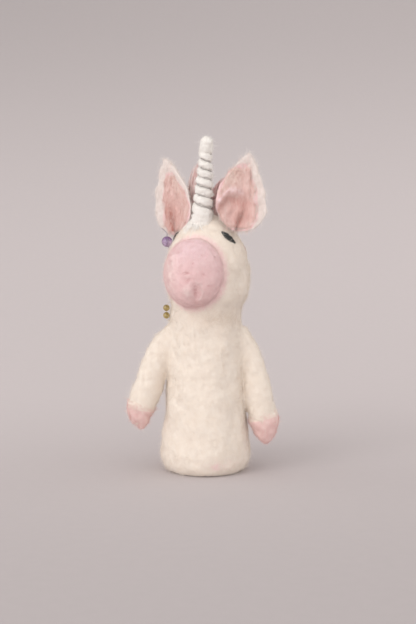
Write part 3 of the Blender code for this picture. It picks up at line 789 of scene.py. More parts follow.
@dataclass(frozen=True)
class GlassFinish:
    """Pressed glass bead: tinted, with a cloudy heart, faint pressing marks and painted shading, darker towards its
    top and lighter below.
    """

    name: str
    plain: Colour
    deep: Colour
    clear: float

    def build(self) -> bpy.types.Material:
        """The finish as a material."""
        book = NodeBook(self.name)
        place = book.place()
        cloud = book.noise(place, 1.4 * MM, 2.0)
        marks = book.noise(place, 0.5 * MM, 2.0)
        return book.dress(
            # painted shading: darker towards the top and lighter below, as light comes through the glass
            Base_Color=book.mixed(self.plain, self.deep, book.held("upper") * 0.8 + cloud.stepped(0.35, 0.65) * 0.3),
            Roughness=0.06 + marks * 0.1,
            Transmission_Weight=self.clear,
            IOR=1.5,
            Coat_Weight=0.4,
            Normal=book.raised(marks, 0.05 * MM, 0.25),
        )


@dataclass(frozen=True)
class MuzzleFinish:
    """Pink felt that pales to cream at the pad's upper edge and turns a lighter, warmer pink below, which is painted
    light against the shade under the pad.
    """

    name: str

    def build(self) -> bpy.types.Material:
        """The finish as a material."""
        book = NodeBook(self.name)
        place = book.place()
        cloud = book.noise(place, 3.2 * MM, 3.0)
        curl = book.noise(place, 1.2 * MM, 4.0, 1.2)
        strands = book.noise(book.stretched(place, (1.0, 1.0, 0.22)), 0.34 * MM, 2.0, 0.6)
        speck = 1.0 - book.cells(place, 2.6 * MM).stepped(0.05, 0.13)
        # speck: needle holes, darkened as painted shade in them
        dark = (cloud * 0.6 + curl * 0.4).stepped(0.36, 0.66) * 0.6 + speck * 0.6
        cool = book.mixed(paint(242, 213, 213), paint(235, 199, 200), dark)
        upper = book.mixed(paint(234, 207, 212), paint(226, 194, 200), dark)
        # painted light: a lighter, warmer pink on the side of the pad that faces the key light
        peach = book.mixed(paint(251, 238, 232), paint(248, 228, 221), dark)
        # rosy: a lighter, warmer pink for the pad's lower part, painted light against the shade that falls under it
        rosy = book.mixed(paint(251, 226, 223), paint(247, 211, 208), dark)
        pink = book.mixed(book.mixed(cool, rosy, book.held("rosiness")), upper, book.held("coolness"))
        pink = book.mixed(pink, peach, book.held("peach"))
        pink = book.mixed(pink, paint(250, 228, 225), book.held("paleness") * 0.85)
        # darker rose: partly the wool round the mouth, partly painted shade in the nostrils, the cleft and the needle
        # dots
        pink = book.mixed(pink, paint(190, 130, 130), book.held("deepness") * (0.4 + curl * 0.6))
        border = (book.held("pinkness") + (curl - 0.5) * 0.5 + (strands - 0.5) * 0.2).stepped(0.1, 0.85)
        height = strands * 0.6 + curl * 0.4 - speck * 0.3
        return book.felted(book.mixed(book.mixed(CREAM, CREAM_SHADE, dark), pink, border), height, 0.16 * MM)


@dataclass(frozen=True)
class LiningFinish:
    """Pink wool combed up the ear and worn to cream at its edge, a deeper rose near its root that is partly painted
    shade in its hollow, with painted shade in its creases and a painted highlight on its fold.
    """

    name: str

    def build(self) -> bpy.types.Material:
        """The finish as a material."""
        book = NodeBook(self.name)
        place = book.place()
        cloud = book.noise(place, 3.0 * MM, 3.0)
        streak = book.noise(book.stretched(place, (1.0, 1.0, 0.15)), 0.6 * MM, 3.0, 0.8)
        curl = book.noise(place, 1.1 * MM, 4.0, 1.2)
        dark = (cloud * 0.5 + streak * 0.5).stepped(0.38, 0.64) * 0.8
        pale = book.mixed(paint(238, 215, 209), paint(230, 201, 194), dark)
        # rosy: a deeper rose towards the root, partly the wool's own colour and partly painted shade in the hollow
        rosy = book.mixed(paint(230, 194, 187), paint(219, 174, 167), dark)
        pink = book.mixed(pale, rosy, book.held("rosiness"))
        pink = book.mixed(pink, paint(230, 213, 200), book.held("beige") * 0.6)
        # painted highlight on the edge of the fold, where it catches the light
        pink = book.mixed(pink, paint(250, 228, 232), book.held("paleness") * 0.95)
        # painted shade in the crease up from the root and in the hollow under the fold
        pink = book.mixed(pink, paint(188, 122, 110), book.held("deepness") * (0.75 + streak * 0.9))
        border = (book.held("pinkness") + (curl - 0.5) * 0.4 + (streak - 0.5) * 0.25).stepped(0.12, 0.88)
        height = streak * 0.6 + curl * 0.4
        return book.felted(book.mixed(book.mixed(EAR, EAR_SHADE, dark), pink, border), height, 0.18 * MM)


@dataclass(frozen=True)
class BackdropFinish:
    """Plain matt paper with a barely visible tooth, and painted shade over it."""

    name: str
    plain: Colour
    near_shade: float
    top_shade: float

    def build(self) -> bpy.types.Material:
        """The finish as a material, with painted shade that darkens it on the near floor, towards the top of the wall
        and to the left.
        """
        book = NodeBook(self.name)
        place = book.place()
        tooth = book.noise(place, 3.0 * MM, 3.0)
        x, y, z = book.axes(place)
        # painted shade: the paper's colour darkens towards the near floor, the top of the wall and the left, as light
        # falls off there
        near = 1.0 - y.stepped(-0.2, 0.17)
        top = z.stepped(0.05, 0.42)
        left = 1.0 - x.stepped(-0.4, 0.4)
        shade = near * self.near_shade + top * self.top_shade + left * 0.08 + tooth * 0.03
        return book.dress(
            Base_Color=book.mixed(self.plain, (0.0, 0.0, 0.0), shade), Roughness=0.95, Specular_IOR_Level=0.1
        )


CREAM = paint(238, 227, 215)
CREAM_SHADE = paint(231, 215, 198)
WHITE = paint(239, 235, 230)
WHITE_SHADE = paint(227, 220, 212)
# colour of the shadow painted on the neck below the head
CHIN_SHADOW_PAINT = paint(205, 186, 168)
EAR = paint(230, 218, 213)
EAR_SHADE = paint(220, 205, 198)
PINK = paint(238, 204, 204)
PINK_SHADE = paint(228, 186, 186)
MANE = paint(212, 156, 152)
MANE_SHADE = paint(194, 130, 128)
BLACK = paint(34, 38, 38)
BLACK_SHADE = paint(18, 20, 20)


@dataclass
class Sleeve:
    """The body: a thick felt tube with a rounded hem and a finger pocket that ends in a dome."""

    height: float = 53.0 * MM
    neck_radius: float = 11.7 * MM
    hem_radius: float = 14.8 * MM
    hem_roll: float = 7.0 * MM
    hem_flat_radius: float = 11.5 * MM
    flare_power: float = 1.8
    crown_rise: float = 6.0 * MM
    pocket_radius: float = 8.8 * MM
    pocket_depth: float = 50.0 * MM
    pocket_edge: float = 1.2 * MM
    fade: float = 4.0 * MM
    sides: int = 120

    def outline(self) -> Points:
        """Rows of (radius, height): down the outside from the crown, round the hem, up the pocket.

        The side's radius is neck + (hem - neck) * (fall from the neck / whole fall)^power. The
        crown, the hem's roll, the pocket's edge and its dome are quarter ellipses.
        """
        quarter = np.linspace(0.0, math.pi / 2, 16)
        down, out = np.sin(quarter), np.cos(quarter)
        crown = columns(self.neck_radius * down, self.height + self.crown_rise * out)
        heights = np.linspace(self.height, self.hem_roll, 50)[1:-1]
        fall = (self.height - heights) / (self.height - self.hem_roll)
        side = columns(self.neck_radius + (self.hem_radius - self.neck_radius) * fall**self.flare_power, heights)
        turn = self.hem_radius - self.hem_flat_radius
        roll = columns(self.hem_flat_radius + turn * out, self.hem_roll * (1.0 - down))
        edge = columns(self.pocket_radius + self.pocket_edge * (1.0 - down), self.pocket_edge * (1.0 - out))
        base = self.pocket_depth - self.pocket_radius
        bore = columns(self.pocket_radius, np.linspace(self.pocket_edge, base, 40))[1:-1]
        dome = columns(self.pocket_radius * out, base + self.pocket_radius * down)
        return np.concatenate([crown[1:], side, roll, edge, bore, dome[:-1]])

    def in_pocket(self, points: Points, clearance: float) -> Points:
        """True for points of the sleeve's space in its finger pocket, or within a clearance of its side."""
        near = np.hypot(points[:, 0], points[:, 1]) < self.pocket_radius + clearance
        return near & (points[:, 2] < self.pocket_depth + 0.5 * MM)

    def skin(self, space: Space) -> Skin:
        """The outline turned round the axis."""
        rows = self.outline()
        rings = turned(rows[:, :1], rows[:, 1:], ring_angles(self.sides))
        level = rings[..., 2]
        fade = np.clip(level / self.fade, 0.0, 1.0) * np.clip((self.height - level) / self.fade, 0.0, 1.0)
        outside = np.where(rows[:, 0] > self.pocket_radius + self.pocket_edge, 1.0, 0.0)[:, None]
        rings = rings + unit(rings * (1.0, 1.0, 0.0)) * (outside * fade * COARSE.at(rings))[..., None]
        top = np.array([0.0, 0.0, self.height + self.crown_rise])
        dome = np.array([0.0, 0.0, self.pocket_depth])
        return Skin.tube(rings, top, dome).set_in(space)


@dataclass
class Egg:
    """The head: fuller below than above.

    A ball's point (x, y, z) with r = sqrt(x^2 + y^2) goes to (x, y) * r^(2 / power - 1) times the
    half width and half depth, and to |z|^(2 / power) times the reach above or below the middle.
    """

    half_width: float = 13.8 * MM
    half_depth: float = 14.0 * MM
    crown: float = 19.0 * MM
    jaw: float = 16.5 * MM
    crown_power: float = 1.8
    jaw_power: float = 2.6

    def shape(self, ball: Points) -> Points:
        """Points of the unit ball on the egg, with its unevenness along the ball's own radii."""
        height = ball[:, 2]
        around = np.hypot(ball[:, 0], ball[:, 1])
        power = np.where(height >= 0.0, self.crown_power, self.jaw_power)
        reach = np.where(height >= 0.0, self.crown, self.jaw)
        share = around ** (2.0 / power) / np.maximum(around, 1e-9)
        even = columns(
            ball[:, 0] * share * self.half_width,
            ball[:, 1] * share * self.half_depth,
            np.sign(height) * np.abs(height) ** (2.0 / power) * reach,
        )
        return even + ball * COARSE.at(even)[:, None]

    def section(self, height: Points) -> Points:
        """Share of the half width that is left at a height: (1 - |height / reach|^power)^(1 / power)."""
        reach = np.where(height >= 0.0, self.crown, self.jaw)
        power = np.where(height >= 0.0, self.crown_power, self.jaw_power)
        return np.clip(1.0 - np.abs(height / reach) ** power, 0.0, 1.0) ** (1.0 / power)

    def depth_in(self, points: Points) -> Points:
        """How far inside the egg points of its space are, roughly: positive is inside."""
        share = np.maximum(self.section(points[:, 2]), 0.05)
        out = np.hypot(points[:, 0] / self.half_width, points[:, 1] / self.half_depth)
        return (share - out) * self.half_width

    def on(self, azimuth: Points, height: Points, lift: Points) -> Points:
        """Points at a lift off the egg's skin. Azimuth 0 is the face, positive is the left side."""
        azimuth, height, lift = np.broadcast_arrays(azimuth, height, lift)
        share = self.section(height)
        skin = columns(
            self.half_width * share * np.sin(azimuth), -self.half_depth * share * np.cos(azimuth), height
        )
        step = 0.1 * MM
        slope = (self.section(height + step) - self.section(height - step)) / (2 * step)
        normal = columns(np.sin(azimuth) / self.half_width, -np.cos(azimuth) / self.half_depth, -slope)
        return skin + unit(normal) * (COARSE.at(skin) + lift)[..., None]


@dataclass
class Arm:
    """A hanging arm with its pink hoof tip.

    The route's rows are (out from the neck's side, below the neck, forward, half width) in
    millimetres, and a smooth curve runs through them.
    """

    side: Side
    route: tuple[tuple[float, float, float, float], ...]
    hoof_length: float
    neck_radius: float = 11.7 * MM
    neck_height: float = 53.0 * MM
    depth_share: float = 0.92
    hoof_overlap: float = 1.1 * MM
    hoof_thickness: float = 0.22 * MM
    sides: int = 72

    def dense(self, space: Space) -> tuple[Points, Points, Points]:
        """Middles, half widths and distances along the route."""
        out, down, forward, half = (np.array(self.route) * MM).T
        across = self.side.value * (self.neck_radius + out)
        dense, along = smooth_route(columns(across, -forward, self.neck_height - down, half))
        return space.put(dense[:, :3]), dense[:, 3], along

    def part(self, space: Space, start: float, stop: float, rows: int, grow: Points | float = 0.0) -> Skin:
        """The route's skin between two distances along it."""
        middles, half, along = self.dense(space)
        stations = np.linspace(start, stop, rows)
        places = columns(*(np.interp(stations, along, middles[:, axis]) for axis in range(3)))
        width = np.interp(stations, along, half) + grow
        return swept(places, width, width * self.depth_share, self.sides)

    def limb(self, space: Space) -> Skin:
        """The whole arm, hoof core included."""
        _, _, along = self.dense(space)
        return self.part(space, 0.0, along[-1] - 0.3 * MM, 90, -0.05 * MM).lumpy((8.0, 0.1, 21))

    def hoof(self, space: Space) -> Skin:
        """The pink cap over the arm's end, thin at its rim."""
        middles, _, along = self.dense(space)
        wrist = along[-1] - self.hoof_length
        share = np.linspace(0.0, 1.0, 60)
        thickness = self.hoof_thickness * smooth_step(0.0, 0.3, share)
        thickness = thickness - 0.12 * MM * (1.0 - smooth_step(0.0, 0.1, share))
        made = self.part(space, wrist - self.hoof_overlap, along[-1], 60, thickness).lumpy((4.0, 0.08, 71))
        near = np.argmin(np.linalg.norm(made.points[:, None] - middles[None, ::4], axis=2), axis=1)
        pinkness = (along[::4][near] - wrist) / (2.2 * MM) + 0.25
        return made.valued(made.points, pinkness=np.clip(pinkness, 0.0, 1.0))


@dataclass
class Muzzle:
    """The soft pad on the face, with two nostrils, a cleft and a curl of wool beside it."""

    half_width: float = 9.7 * MM
    half_depth: float = 8.6 * MM
    half_height: float = 11.0 * MM
    sink: float = 2.6 * MM
    drop: float = 0.2 * MM
    chin_push: float = 1.3 * MM
    head_half_depth: float = 14.0 * MM
    dots: tuple[tuple[float, float], ...] = (
        (-0.9, 2.4), (2.9, 3.0), (7.2, -4.0), (-3.6, -2.2), (5.2, 5.6), (-2.6, 6.4)
    )
    dot_size: float = 0.38

    def shape(self, ball: Points, grow: float = 0.0, flat: float = 0.0) -> Points:
        """Points of the unit ball on the pad, in the head's space, grown and then flattened."""
        x = ball[:, 0] * (self.half_width + grow)
        z = ball[:, 2] * (self.half_height + grow)
        y = ball[:, 1] * (self.half_depth + grow - flat) - self.chin_push * np.clip(-ball[:, 2], 0.0, 1.0)
        return columns(x, y - self.head_half_depth + self.sink, z - self.drop)

    def marks(self, x: Points, z: Points) -> tuple[Points, Points, Points]:
        """The needle's marks at places of the pad, in millimetres from its middle.

        Args:
            x: places across the pad.
            z: places up the pad.

        Returns:
            How far the surface goes in, how deep the rose and the painted shade in the marks are, and how pale the
            pink is.
        """
        nostrils = spot(x, z, 0.7, -0.05, 1.0, 0.42) + 0.7 * spot(x, z, 5.9, -0.55, 0.5, 0.5)
        lip = spot(x, z, 1.7, -1.15, 1.3, 0.45)
        cleft = bump(x, 3.35 + 0.12 * (z + 6.4), 0.7) * np.exp(-(((z + 6.0) / 2.2) ** 4))
        slant = spot(x, z, 1.5 + 0.45 * (z + 2.3), -2.6, 0.6, 1.1)
        lobe = spot(x, z, 1.1 + 0.16 * (z + 5.6), -5.6, 1.5, 2.5)
        curl = np.hypot((x - 3.2) / 2.2, (z + 5.5) / 3.0)
        strand = bump(curl, 1.0, 0.1) * smooth_step(-0.2, 0.4, (x - 3.2) / 2.2)
        dots = sum(spot(x, z, at, up, self.dot_size, self.dot_size) for at, up in self.dots)
        around = spot(x, z, 2.2, -4.2, 3.4, 4.6)
        depth = 0.4 * nostrils - 0.22 * lip + 0.32 * cleft + 0.25 * slant - 0.6 * lobe - 0.28 * strand + 0.15 * dots
        # a deeper rose round the mouth, with painted shade in the nostrils, the cleft, the slant and the needle dots
        deep = 0.9 * nostrils + 0.5 * cleft + 0.55 * slant + 0.6 * dots + 0.42 * around * (1.0 - lobe)
        pale = 0.85 * lip + 0.9 * lobe + strand
        return depth, np.clip(deep, 0.0, 1.0), np.clip(pale, 0.0, 1.0)

    def skin(self, head: Space, egg: Egg) -> Skin:
        """The pad with its marks and its unevenness, and the shares of its colours."""
        ball = Skin.ball(160, 190)
        local = self.shape(ball.points)
        x, z = local[:, 0] / MM, (local[:, 2] + self.drop) / MM
        front = smooth_step(0.0, 0.5, -(local[:, 1] + self.head_half_depth - self.sink) / self.half_depth)
        depth, deep, pale = self.marks(x, z)
        uneven = lumps_at(local, (5.5, 0.07, 31), (1.7, 0.016, 32))
        made = ball.moved(local).raised(uneven - depth * front * MM)
        stand = -egg.depth_in(made.points)
        top = smooth_step(3.0, 11.5, z)
        return made.valued(
            head.put(made.points),
            pinkness=smooth_step(-0.2, 1.0 + 2.6 * top, stand / MM),
            # a lighter, warmer pink towards the bottom, painted light against the shade under the pad
            rosiness=smooth_step(3.0, -9.0, z),
            # painted shade in the nostrils, the cleft and the needle dots, with a deeper rose round the mouth
            deepness=deep * front,
            paleness=pale * front,
            coolness=smooth_step(0.5, 8.0, z) * smooth_step(9.0, 2.0, np.abs(x - 1.0)),
            # painted light on the side of the pad that faces the key light
            peach=smooth_step(-1.0, -7.0, x) * smooth_step(8.0, 2.0, z),
        )


@dataclass
class Ear:
    """A cupped leaf of cream felt with a pink lining that leaves a cream rim on its outer side.

    u runs from 0 at the root to 1 at the tip and v from -1 at the inner edge to 1 at the outer
    one. With w = sin(pi * u^low)^0.8, a point is (half width * w * v + curve * u^2, -cup * w * v^2
    - lift, length * u). The lower the low, the lower down is that half's widest place.
    """

    side: Side
    radius: float
    lean: float
    cup: float
    curve: float
    length: float
    level: float
    lows: tuple[float, float]
    width: float = 17.0 * MM
    thickness: float = 2.2 * MM
    thinning: float = 0.55
    azimuth: float = 80.0
    splay: float = 22.0
    pitch: float = 4.0
    lining: float = 0.75 * MM
    rim: float = 0.30
    top: float = 0.88
    inner_share: float = 1.0

    def space(self, head: Space) -> Space:
        """The ear's own space on the head."""
        sign, turn = self.side.value, math.radians(self.azimuth)
        place = (sign * self.radius * math.sin(turn), -self.radius * math.cos(turn), self.level)
        return Space.at(place, (-self.pitch, sign * self.lean, sign * self.splay)).inside(head)

    def point(self, u: Points, v: Points, lift: Points) -> Points:
        """Points of the leaf at a lift in front of its middle."""
        low = np.where(v < 0.0, *self.lows)
        spread = np.sin(math.pi * np.clip(u, 0.0, 1.0) ** low) ** 0.8
        spread = spread * np.where(v < 0.0, self.inner_share, 1.0)
        x = self.width / 2 * spread * v + self.curve * u**2
        y = -self.cup * spread * v**2 - lift
        return columns(self.side.value * x, y, self.length * u)

    def folds(self, u: Points, v: Points) -> tuple[Points, Points]:
        """Where the crease up from the root runs in v, and where the fold across runs in u."""
        return 0.05 + 0.9 * (u - 0.12), 0.31 + 0.18 * smooth_step(-1.05, -0.45, v)

    def relief(self, u: Points, v: Points) -> Points:
        """Folds of the inner face in millimetres: a crease up from the root and a soft crumple."""
        crease_at, fold_at = self.folds(u, v)
        crease = -1.25 * bump(v, crease_at, 0.11) * (1.0 - smooth_step(0.2, 0.42, u))
        if self.side is Side.RIGHT:
            shoulder = 0.5 * bump(v, crease_at - 0.3, 0.16) * (1.0 - smooth_step(0.15, 0.4, u))
            return crease + shoulder
        fold = 0.75 * bump(u, fold_at, 0.05) * (1.0 - smooth_step(-0.25, 0.1, v))
        hollow = -0.7 * bump(u, fold_at - 0.13, 0.07) * (1.0 - smooth_step(0.1, 0.5, v))
        upright = -0.45 * bump(v, 0.38, 0.06) * smooth_step(0.3, 0.45, u) * (1.0 - smooth_step(0.7, 0.82, u))
        return crease + fold + hollow + upright

    def reach(self, u: Points) -> tuple[Points, Points]:
        """The lining's inner and outer borders in v, for shares of the length."""
        outer = 1.0 - self.rim - 0.3 * smooth_step(0.45, 0.86, u) + 0.14 * (1.0 - smooth_step(0.12, 0.3, u))
        if self.side is Side.LEFT:
            return -1.0 + 0.3 * smooth_step(0.74, 0.9, u), outer
        return -0.96 + 0.42 * smooth_step(0.3, 0.8, u), outer

    def half(self, v: Points) -> Points:
        """Half thickness of the felt, rounded off to the edges."""
        body = self.thickness / 2 * (1.0 - self.thinning * v**2)
        return body * np.clip(1.0 - np.abs(v) ** 14, 0.0, 1.0) ** 0.5

    def shell(self, front: Points, back: Points) -> Skin:
        """A closed shell of a front and a back, given as rows of points."""
        rings = np.concatenate([front, back], axis=1)
        return Skin.tube(rings, rings[0].mean(axis=0), rings[-1].mean(axis=0))

    def on_shell(self, front: Points, back: Points) -> Points:
        """A shell's values, of which its two poles have none."""
        return np.append(np.concatenate([front, back], axis=1).ravel(), [0.0, 0.0])

    def leaf_skin(self, space: Space) -> Skin:
        """The cream felt as a closed shell."""
        u = 0.004 + 0.990 * (0.5 - 0.5 * np.cos(np.linspace(0.0, math.pi, 120)))[:, None]
        v = np.sin(np.linspace(-math.pi / 2, math.pi / 2, 61))[None, :]
        wobble = 1.0 + 0.018 * np.sin(21.0 * u + 2.0) + 0.014 * np.sin(37.0 * u)
        back_v = v[:, ::-1][:, 1:-1]
        front = self.point(u, v * wobble, self.half(v) + self.relief(u, v) * MM)
        made = self.shell(front, self.point(u, back_v * wobble, -self.half(back_v)))
        inner, outer = self.reach(u)
        within = smooth_step(-0.14, 0.06, v - inner) * smooth_step(-0.1, 0.12, outer - v)
        within = within * smooth_step(self.top + 0.04, self.top - 0.06, u)
        made.values["pinkness"] = self.on_shell(within, 0.6 * within[:, :1] * smooth_step(-0.9, -1.0, back_v))
        return made.lumpy((5.0, 0.14, 41), (1.6, 0.05, 42)).set_in(space)

    def lining_skin(self, space: Space) -> Skin:
        """The pink layer on the inner face, which thins out to nothing at its own edge."""
        u = np.linspace(0.03, self.top, 120)[:, None]
        t = np.linspace(-1.0, 1.0, 71)[None, :]
        inner, outer = self.reach(u)
        v = inner + (outer - inner) * (t + 1.0) / 2.0
        ends = smooth_step(0.0, 0.04, u - 0.03) * smooth_step(0.0, 0.14, self.top - u)
        edge = smooth_step(1.0, 0.72, t) * smooth_step(-1.0, -0.8, t) * ends
        base = self.half(v) + self.relief(u, v) * MM
        front = self.point(u, v, base + self.lining * (edge - 0.35))
        back = self.point(u, v[:, ::-1][:, 1:-1], (base - 0.5 * MM)[:, ::-1][:, 1:-1])
        made = self.shell(front, back).lumpy((3.5, 0.1, 43), (1.2, 0.03, 44))
        crease_at, fold_at = self.folds(u, v)
        # painted shade in the crease up from the root, and on the left ear also in the hollow under the fold
        if self.side is Side.RIGHT:
            crease = bump(v, crease_at, 0.32) * (1.0 - smooth_step(0.2, 0.5, u))
            band = under = np.zeros_like(v)
        else:
            crease = 0.6 * (bump(v, crease_at, 0.18) * (1.0 - smooth_step(0.16, 0.42, u)))
            # painted highlight along the fold's edge
            band = bump(u, fold_at + 0.015, 0.042) * (1.0 - smooth_step(-0.15, 0.2, v))
            under = 0.4 * bump(u, fold_at - 0.1, 0.06) * (1.0 - smooth_step(0.1, 0.5, v))
        shown = {
            "pinkness": smooth_step(0.0, 0.75, edge + 0.5 * smooth_step(-0.6, -1.0, t) * ends),
            # a deeper rose near the root, partly painted shade in the hollow
            "rosiness": np.clip(bump(u, 0.2, 0.24) * bump(v, 0.1, 0.55) + 0.22, 0.0, 1.0),
            "deepness": np.clip(crease + under, 0.0, 1.0),
            "paleness": band,
            "beige": smooth_step(0.1, -0.6, v) * smooth_step(0.42, 0.7, u),
        }
        values = {
            name: self.on_shell(share, share[:, ::-1][:, 1:-1])
            for name, share in zip(shown, np.broadcast_arrays(*shown.values()))
        }
        return made.valued(space.put(made.points), **values)


@dataclass
class Horn:
    """A cone of white wool that a wound thread waists into puffed rings.

    The thread has wound turns(s) = whole turns * share^power at the share s of the length. The
    radius is the cone's, less the groove's depth times ((1 + cos(tau * turns + angle)) / 2)^6, and
    puffed where the groove is far.
    """

    length: float = 26.4 * MM
    sunk: float = 3.0 * MM
    root_radius: float = 3.4 * MM
    tip_radius: float = 1.95 * MM
    forward: float = 4.9 * MM
    lean: float = 7.0
    nod: float = 7.5
    groove: float = 0.8 * MM
    turns: float = 6.5
    thread_start: float = 0.075
    thread_end: float = 0.80
    thread_power: float = 1.1
    thread_radius: float = 0.24 * MM
    seam: float = 0.3 * MM
    puff: float = 0.18 * MM
    groove_power: float = 6.0
    sides: int = 80

    def space(self, head: Space, egg: Egg) -> Space:
        """The horn's own space on the crown."""
        share = (self.forward / egg.half_depth) ** egg.crown_power
        level = egg.crown * (1.0 - share) ** (1.0 / egg.crown_power)
        return Space.at((0.0, -self.forward, level), (self.nod, self.lean, 0.0)).inside(head)

    def cone(self, s: Points) -> Points:
        """Radius before the thread waists it, with a round end."""
        share = np.clip(s / self.thread_end, 0.0, 1.0)
        radius = self.root_radius + (self.tip_radius - self.root_radius) * share
        cap = np.clip((s - 1.0) * self.length / self.tip_radius + 1.0, 0.0, 1.0)
        return radius * np.sqrt(1.0 - cap**2)

    def skin(self, space: Space) -> Skin:
        """The wool with its groove."""
        wound_rows = np.linspace(-self.sunk / self.length, 0.93, 320)
        tip_rows = 0.93 + 0.0699 * np.sin(np.linspace(0.05, 1.5, 30))
        s = np.concatenate([wound_rows, tip_rows])[:, None]
        angle = ring_angles(self.sides)
        share = np.clip((s - self.thread_start) / (self.thread_end - self.thread_start), 0.0, 1.2)
        wound = self.turns * share**self.thread_power
        wave = (1.0 + np.cos(math.tau * (wound - self.turns) + angle)) / 2.0
        rise = np.clip((s - self.thread_start) / 0.03 + 1.4, 0.0, 1.0)
        fade = rise * np.clip((self.thread_end - s) / 0.03 + 1.0, 0.0, 1.0)
        radius = self.cone(s) - self.groove * fade * wave**self.groove_power + self.puff * fade * (1.0 - wave)
        rings = turned(radius, s * self.length, angle)
        made = Skin.tube(rings, np.array([0.0, 0.0, -self.sunk]), np.array([0.0, 0.0, self.length]))
        return made.lumpy((2.2, 0.07, 51), (0.9, 0.045, 52)).set_in(space)

    def thread(self, space: Space) -> Skin:
        """The wound thread in its groove."""
        turn = np.linspace(0.0, self.turns, int(self.turns * 44))
        share = (turn / self.turns) ** (1.0 / self.thread_power)
        s = self.thread_start + (self.thread_end - self.thread_start) * share
        angle = math.tau * (self.turns - turn)
        sway = lumps_at(columns(angle * MM, s * self.length, 0.0), (1.6, 0.13, 53))
        radius = self.cone(s) - self.groove + self.seam + self.thread_radius - 0.12 * MM + sway
        return thread_skin(space.put(turned(radius, s * self.length, angle)), 0.62 * self.thread_radius)

    def root_strands(self, head: Space, egg: Egg) -> Skin:
        """Shiny strands of the horn's wool that run out over the crown, most of them to the right.

        At the shares (x, y) of the half width and half depth, with r = sqrt(x^2 + y^2), the crown's
        height is crown * (1 - r^power)^(1 / power).
        """
        rng = np.random.default_rng(54)
        right, front, rows = 30, 18, 12
        count = right + front
        bearings = np.concatenate([rng.normal(205.0, 15.0, right), rng.normal(262.0, 16.0, front)])
        heading = np.radians(bearings)[:, None]
        along = np.linspace(0.0, 1.0, rows)[None, :]
        length = np.concatenate([rng.uniform(2.2, 4.4, right), rng.uniform(0.9, 2.3, front)])[:, None] * MM
        out = self.root_radius - 0.7 * MM + length * along
        bearing = heading + rng.normal(0.0, 0.25, (count, 1)) * along
        x, y = out * np.cos(bearing), out * np.sin(bearing) - self.forward
        share = np.hypot(x / egg.half_width, y / egg.half_depth)
        z = egg.crown * np.clip(1.0 - share**egg.crown_power, 0.0, 1.0) ** (1.0 / egg.crown_power)
        lift = 1.3 * MM * (1.0 - along) ** 2 + rng.uniform(0.05, 0.35, (count, 1)) * MM
        paths = head.put(columns(x, y, z + lift).reshape(-1, 3)).reshape(count, rows, 3)
        return Skin.joined([thread_skin(path, 0.1 * MM, 6, 3) for path in paths])


def thread_skin(middles: Points, radius: float, sides: int = 10, plies: int = 2, pitch: float = 1.3 * MM) -> Skin:
    """A thread of twisted plies along a path.

    The section's radius is radius * (0.9 + 0.16 * |cos|) of plies times the angle less the twist.
    """
    tangents = unit(np.gradient(middles, axis=0))
    guide = np.where(np.abs(tangents[:, 2:]) > 0.9, [[1.0, 0.0, 0.0]], [[0.0, 0.0, 1.0]])
    side = unit(np.cross(tangents, guide))
    over = np.cross(side, tangents)
    along = np.concatenate([[0.0], np.cumsum(np.linalg.norm(np.diff(middles, axis=0), axis=1))])
    angle = ring_angles(sides)
    twist = math.tau * along[:, None] / pitch
    reach = radius * (0.9 + 0.16 * np.abs(np.cos(plies * (angle - twist) / 2.0)))
    taper = np.clip(along / radius + 0.3, 0.0, 1.0) * np.clip((along[-1] - along) / radius + 0.3, 0.0, 1.0)
    reach = reach * taper[:, None]
    rings = sections(middles, side, over, reach * np.cos(angle), reach * np.sin(angle))
    return Skin.tube(rings, middles[0], middles[-1])


@dataclass
class Eye:
    """A slanting almond of black felt laid on the head."""

    node: str
    azimuth: float
    length: float = 6.2 * MM
    height: float = 2.3 * MM
    relief: float = 0.9 * MM
    level: float = 11.3 * MM
    slant: float = 49.0
    taper: float = 0.75

    def skin(self, head: Space, egg: Egg) -> Skin:
        """The almond, flat underneath and pointed at both ends."""
        ball = Skin.ball(60, 90)
        along = ball.points[:, 0] * self.length / 2
        across = ball.points[:, 1] * (1.0 - self.taper * ball.points[:, 0] ** 2) * self.height / 2
        lift = -0.25 * MM + (self.relief + 0.25 * MM) * np.clip(ball.points[:, 2], 0.0, 1.0)
        slant, azimuth = math.radians(self.slant), math.radians(self.azimuth)
        back = along * math.cos(slant) + across * math.sin(slant)
        down = along * math.sin(slant) - across * math.cos(slant)
        level = np.array(self.level)
        radius = egg.half_width * float(egg.section(level))
        slope = float(egg.section(level + MM) - egg.section(level - MM)) / (2 * MM)
        steepness = math.hypot(1.0, egg.half_width * slope)
        turn = azimuth + math.copysign(1.0, azimuth) * back / radius
        local = egg.on(turn, self.level - down / steepness, lift)
        made = ball.moved(local).facing_out().raised(lumps_at(local, (1.1, 0.05, 61)))
        return made.set_in(head)


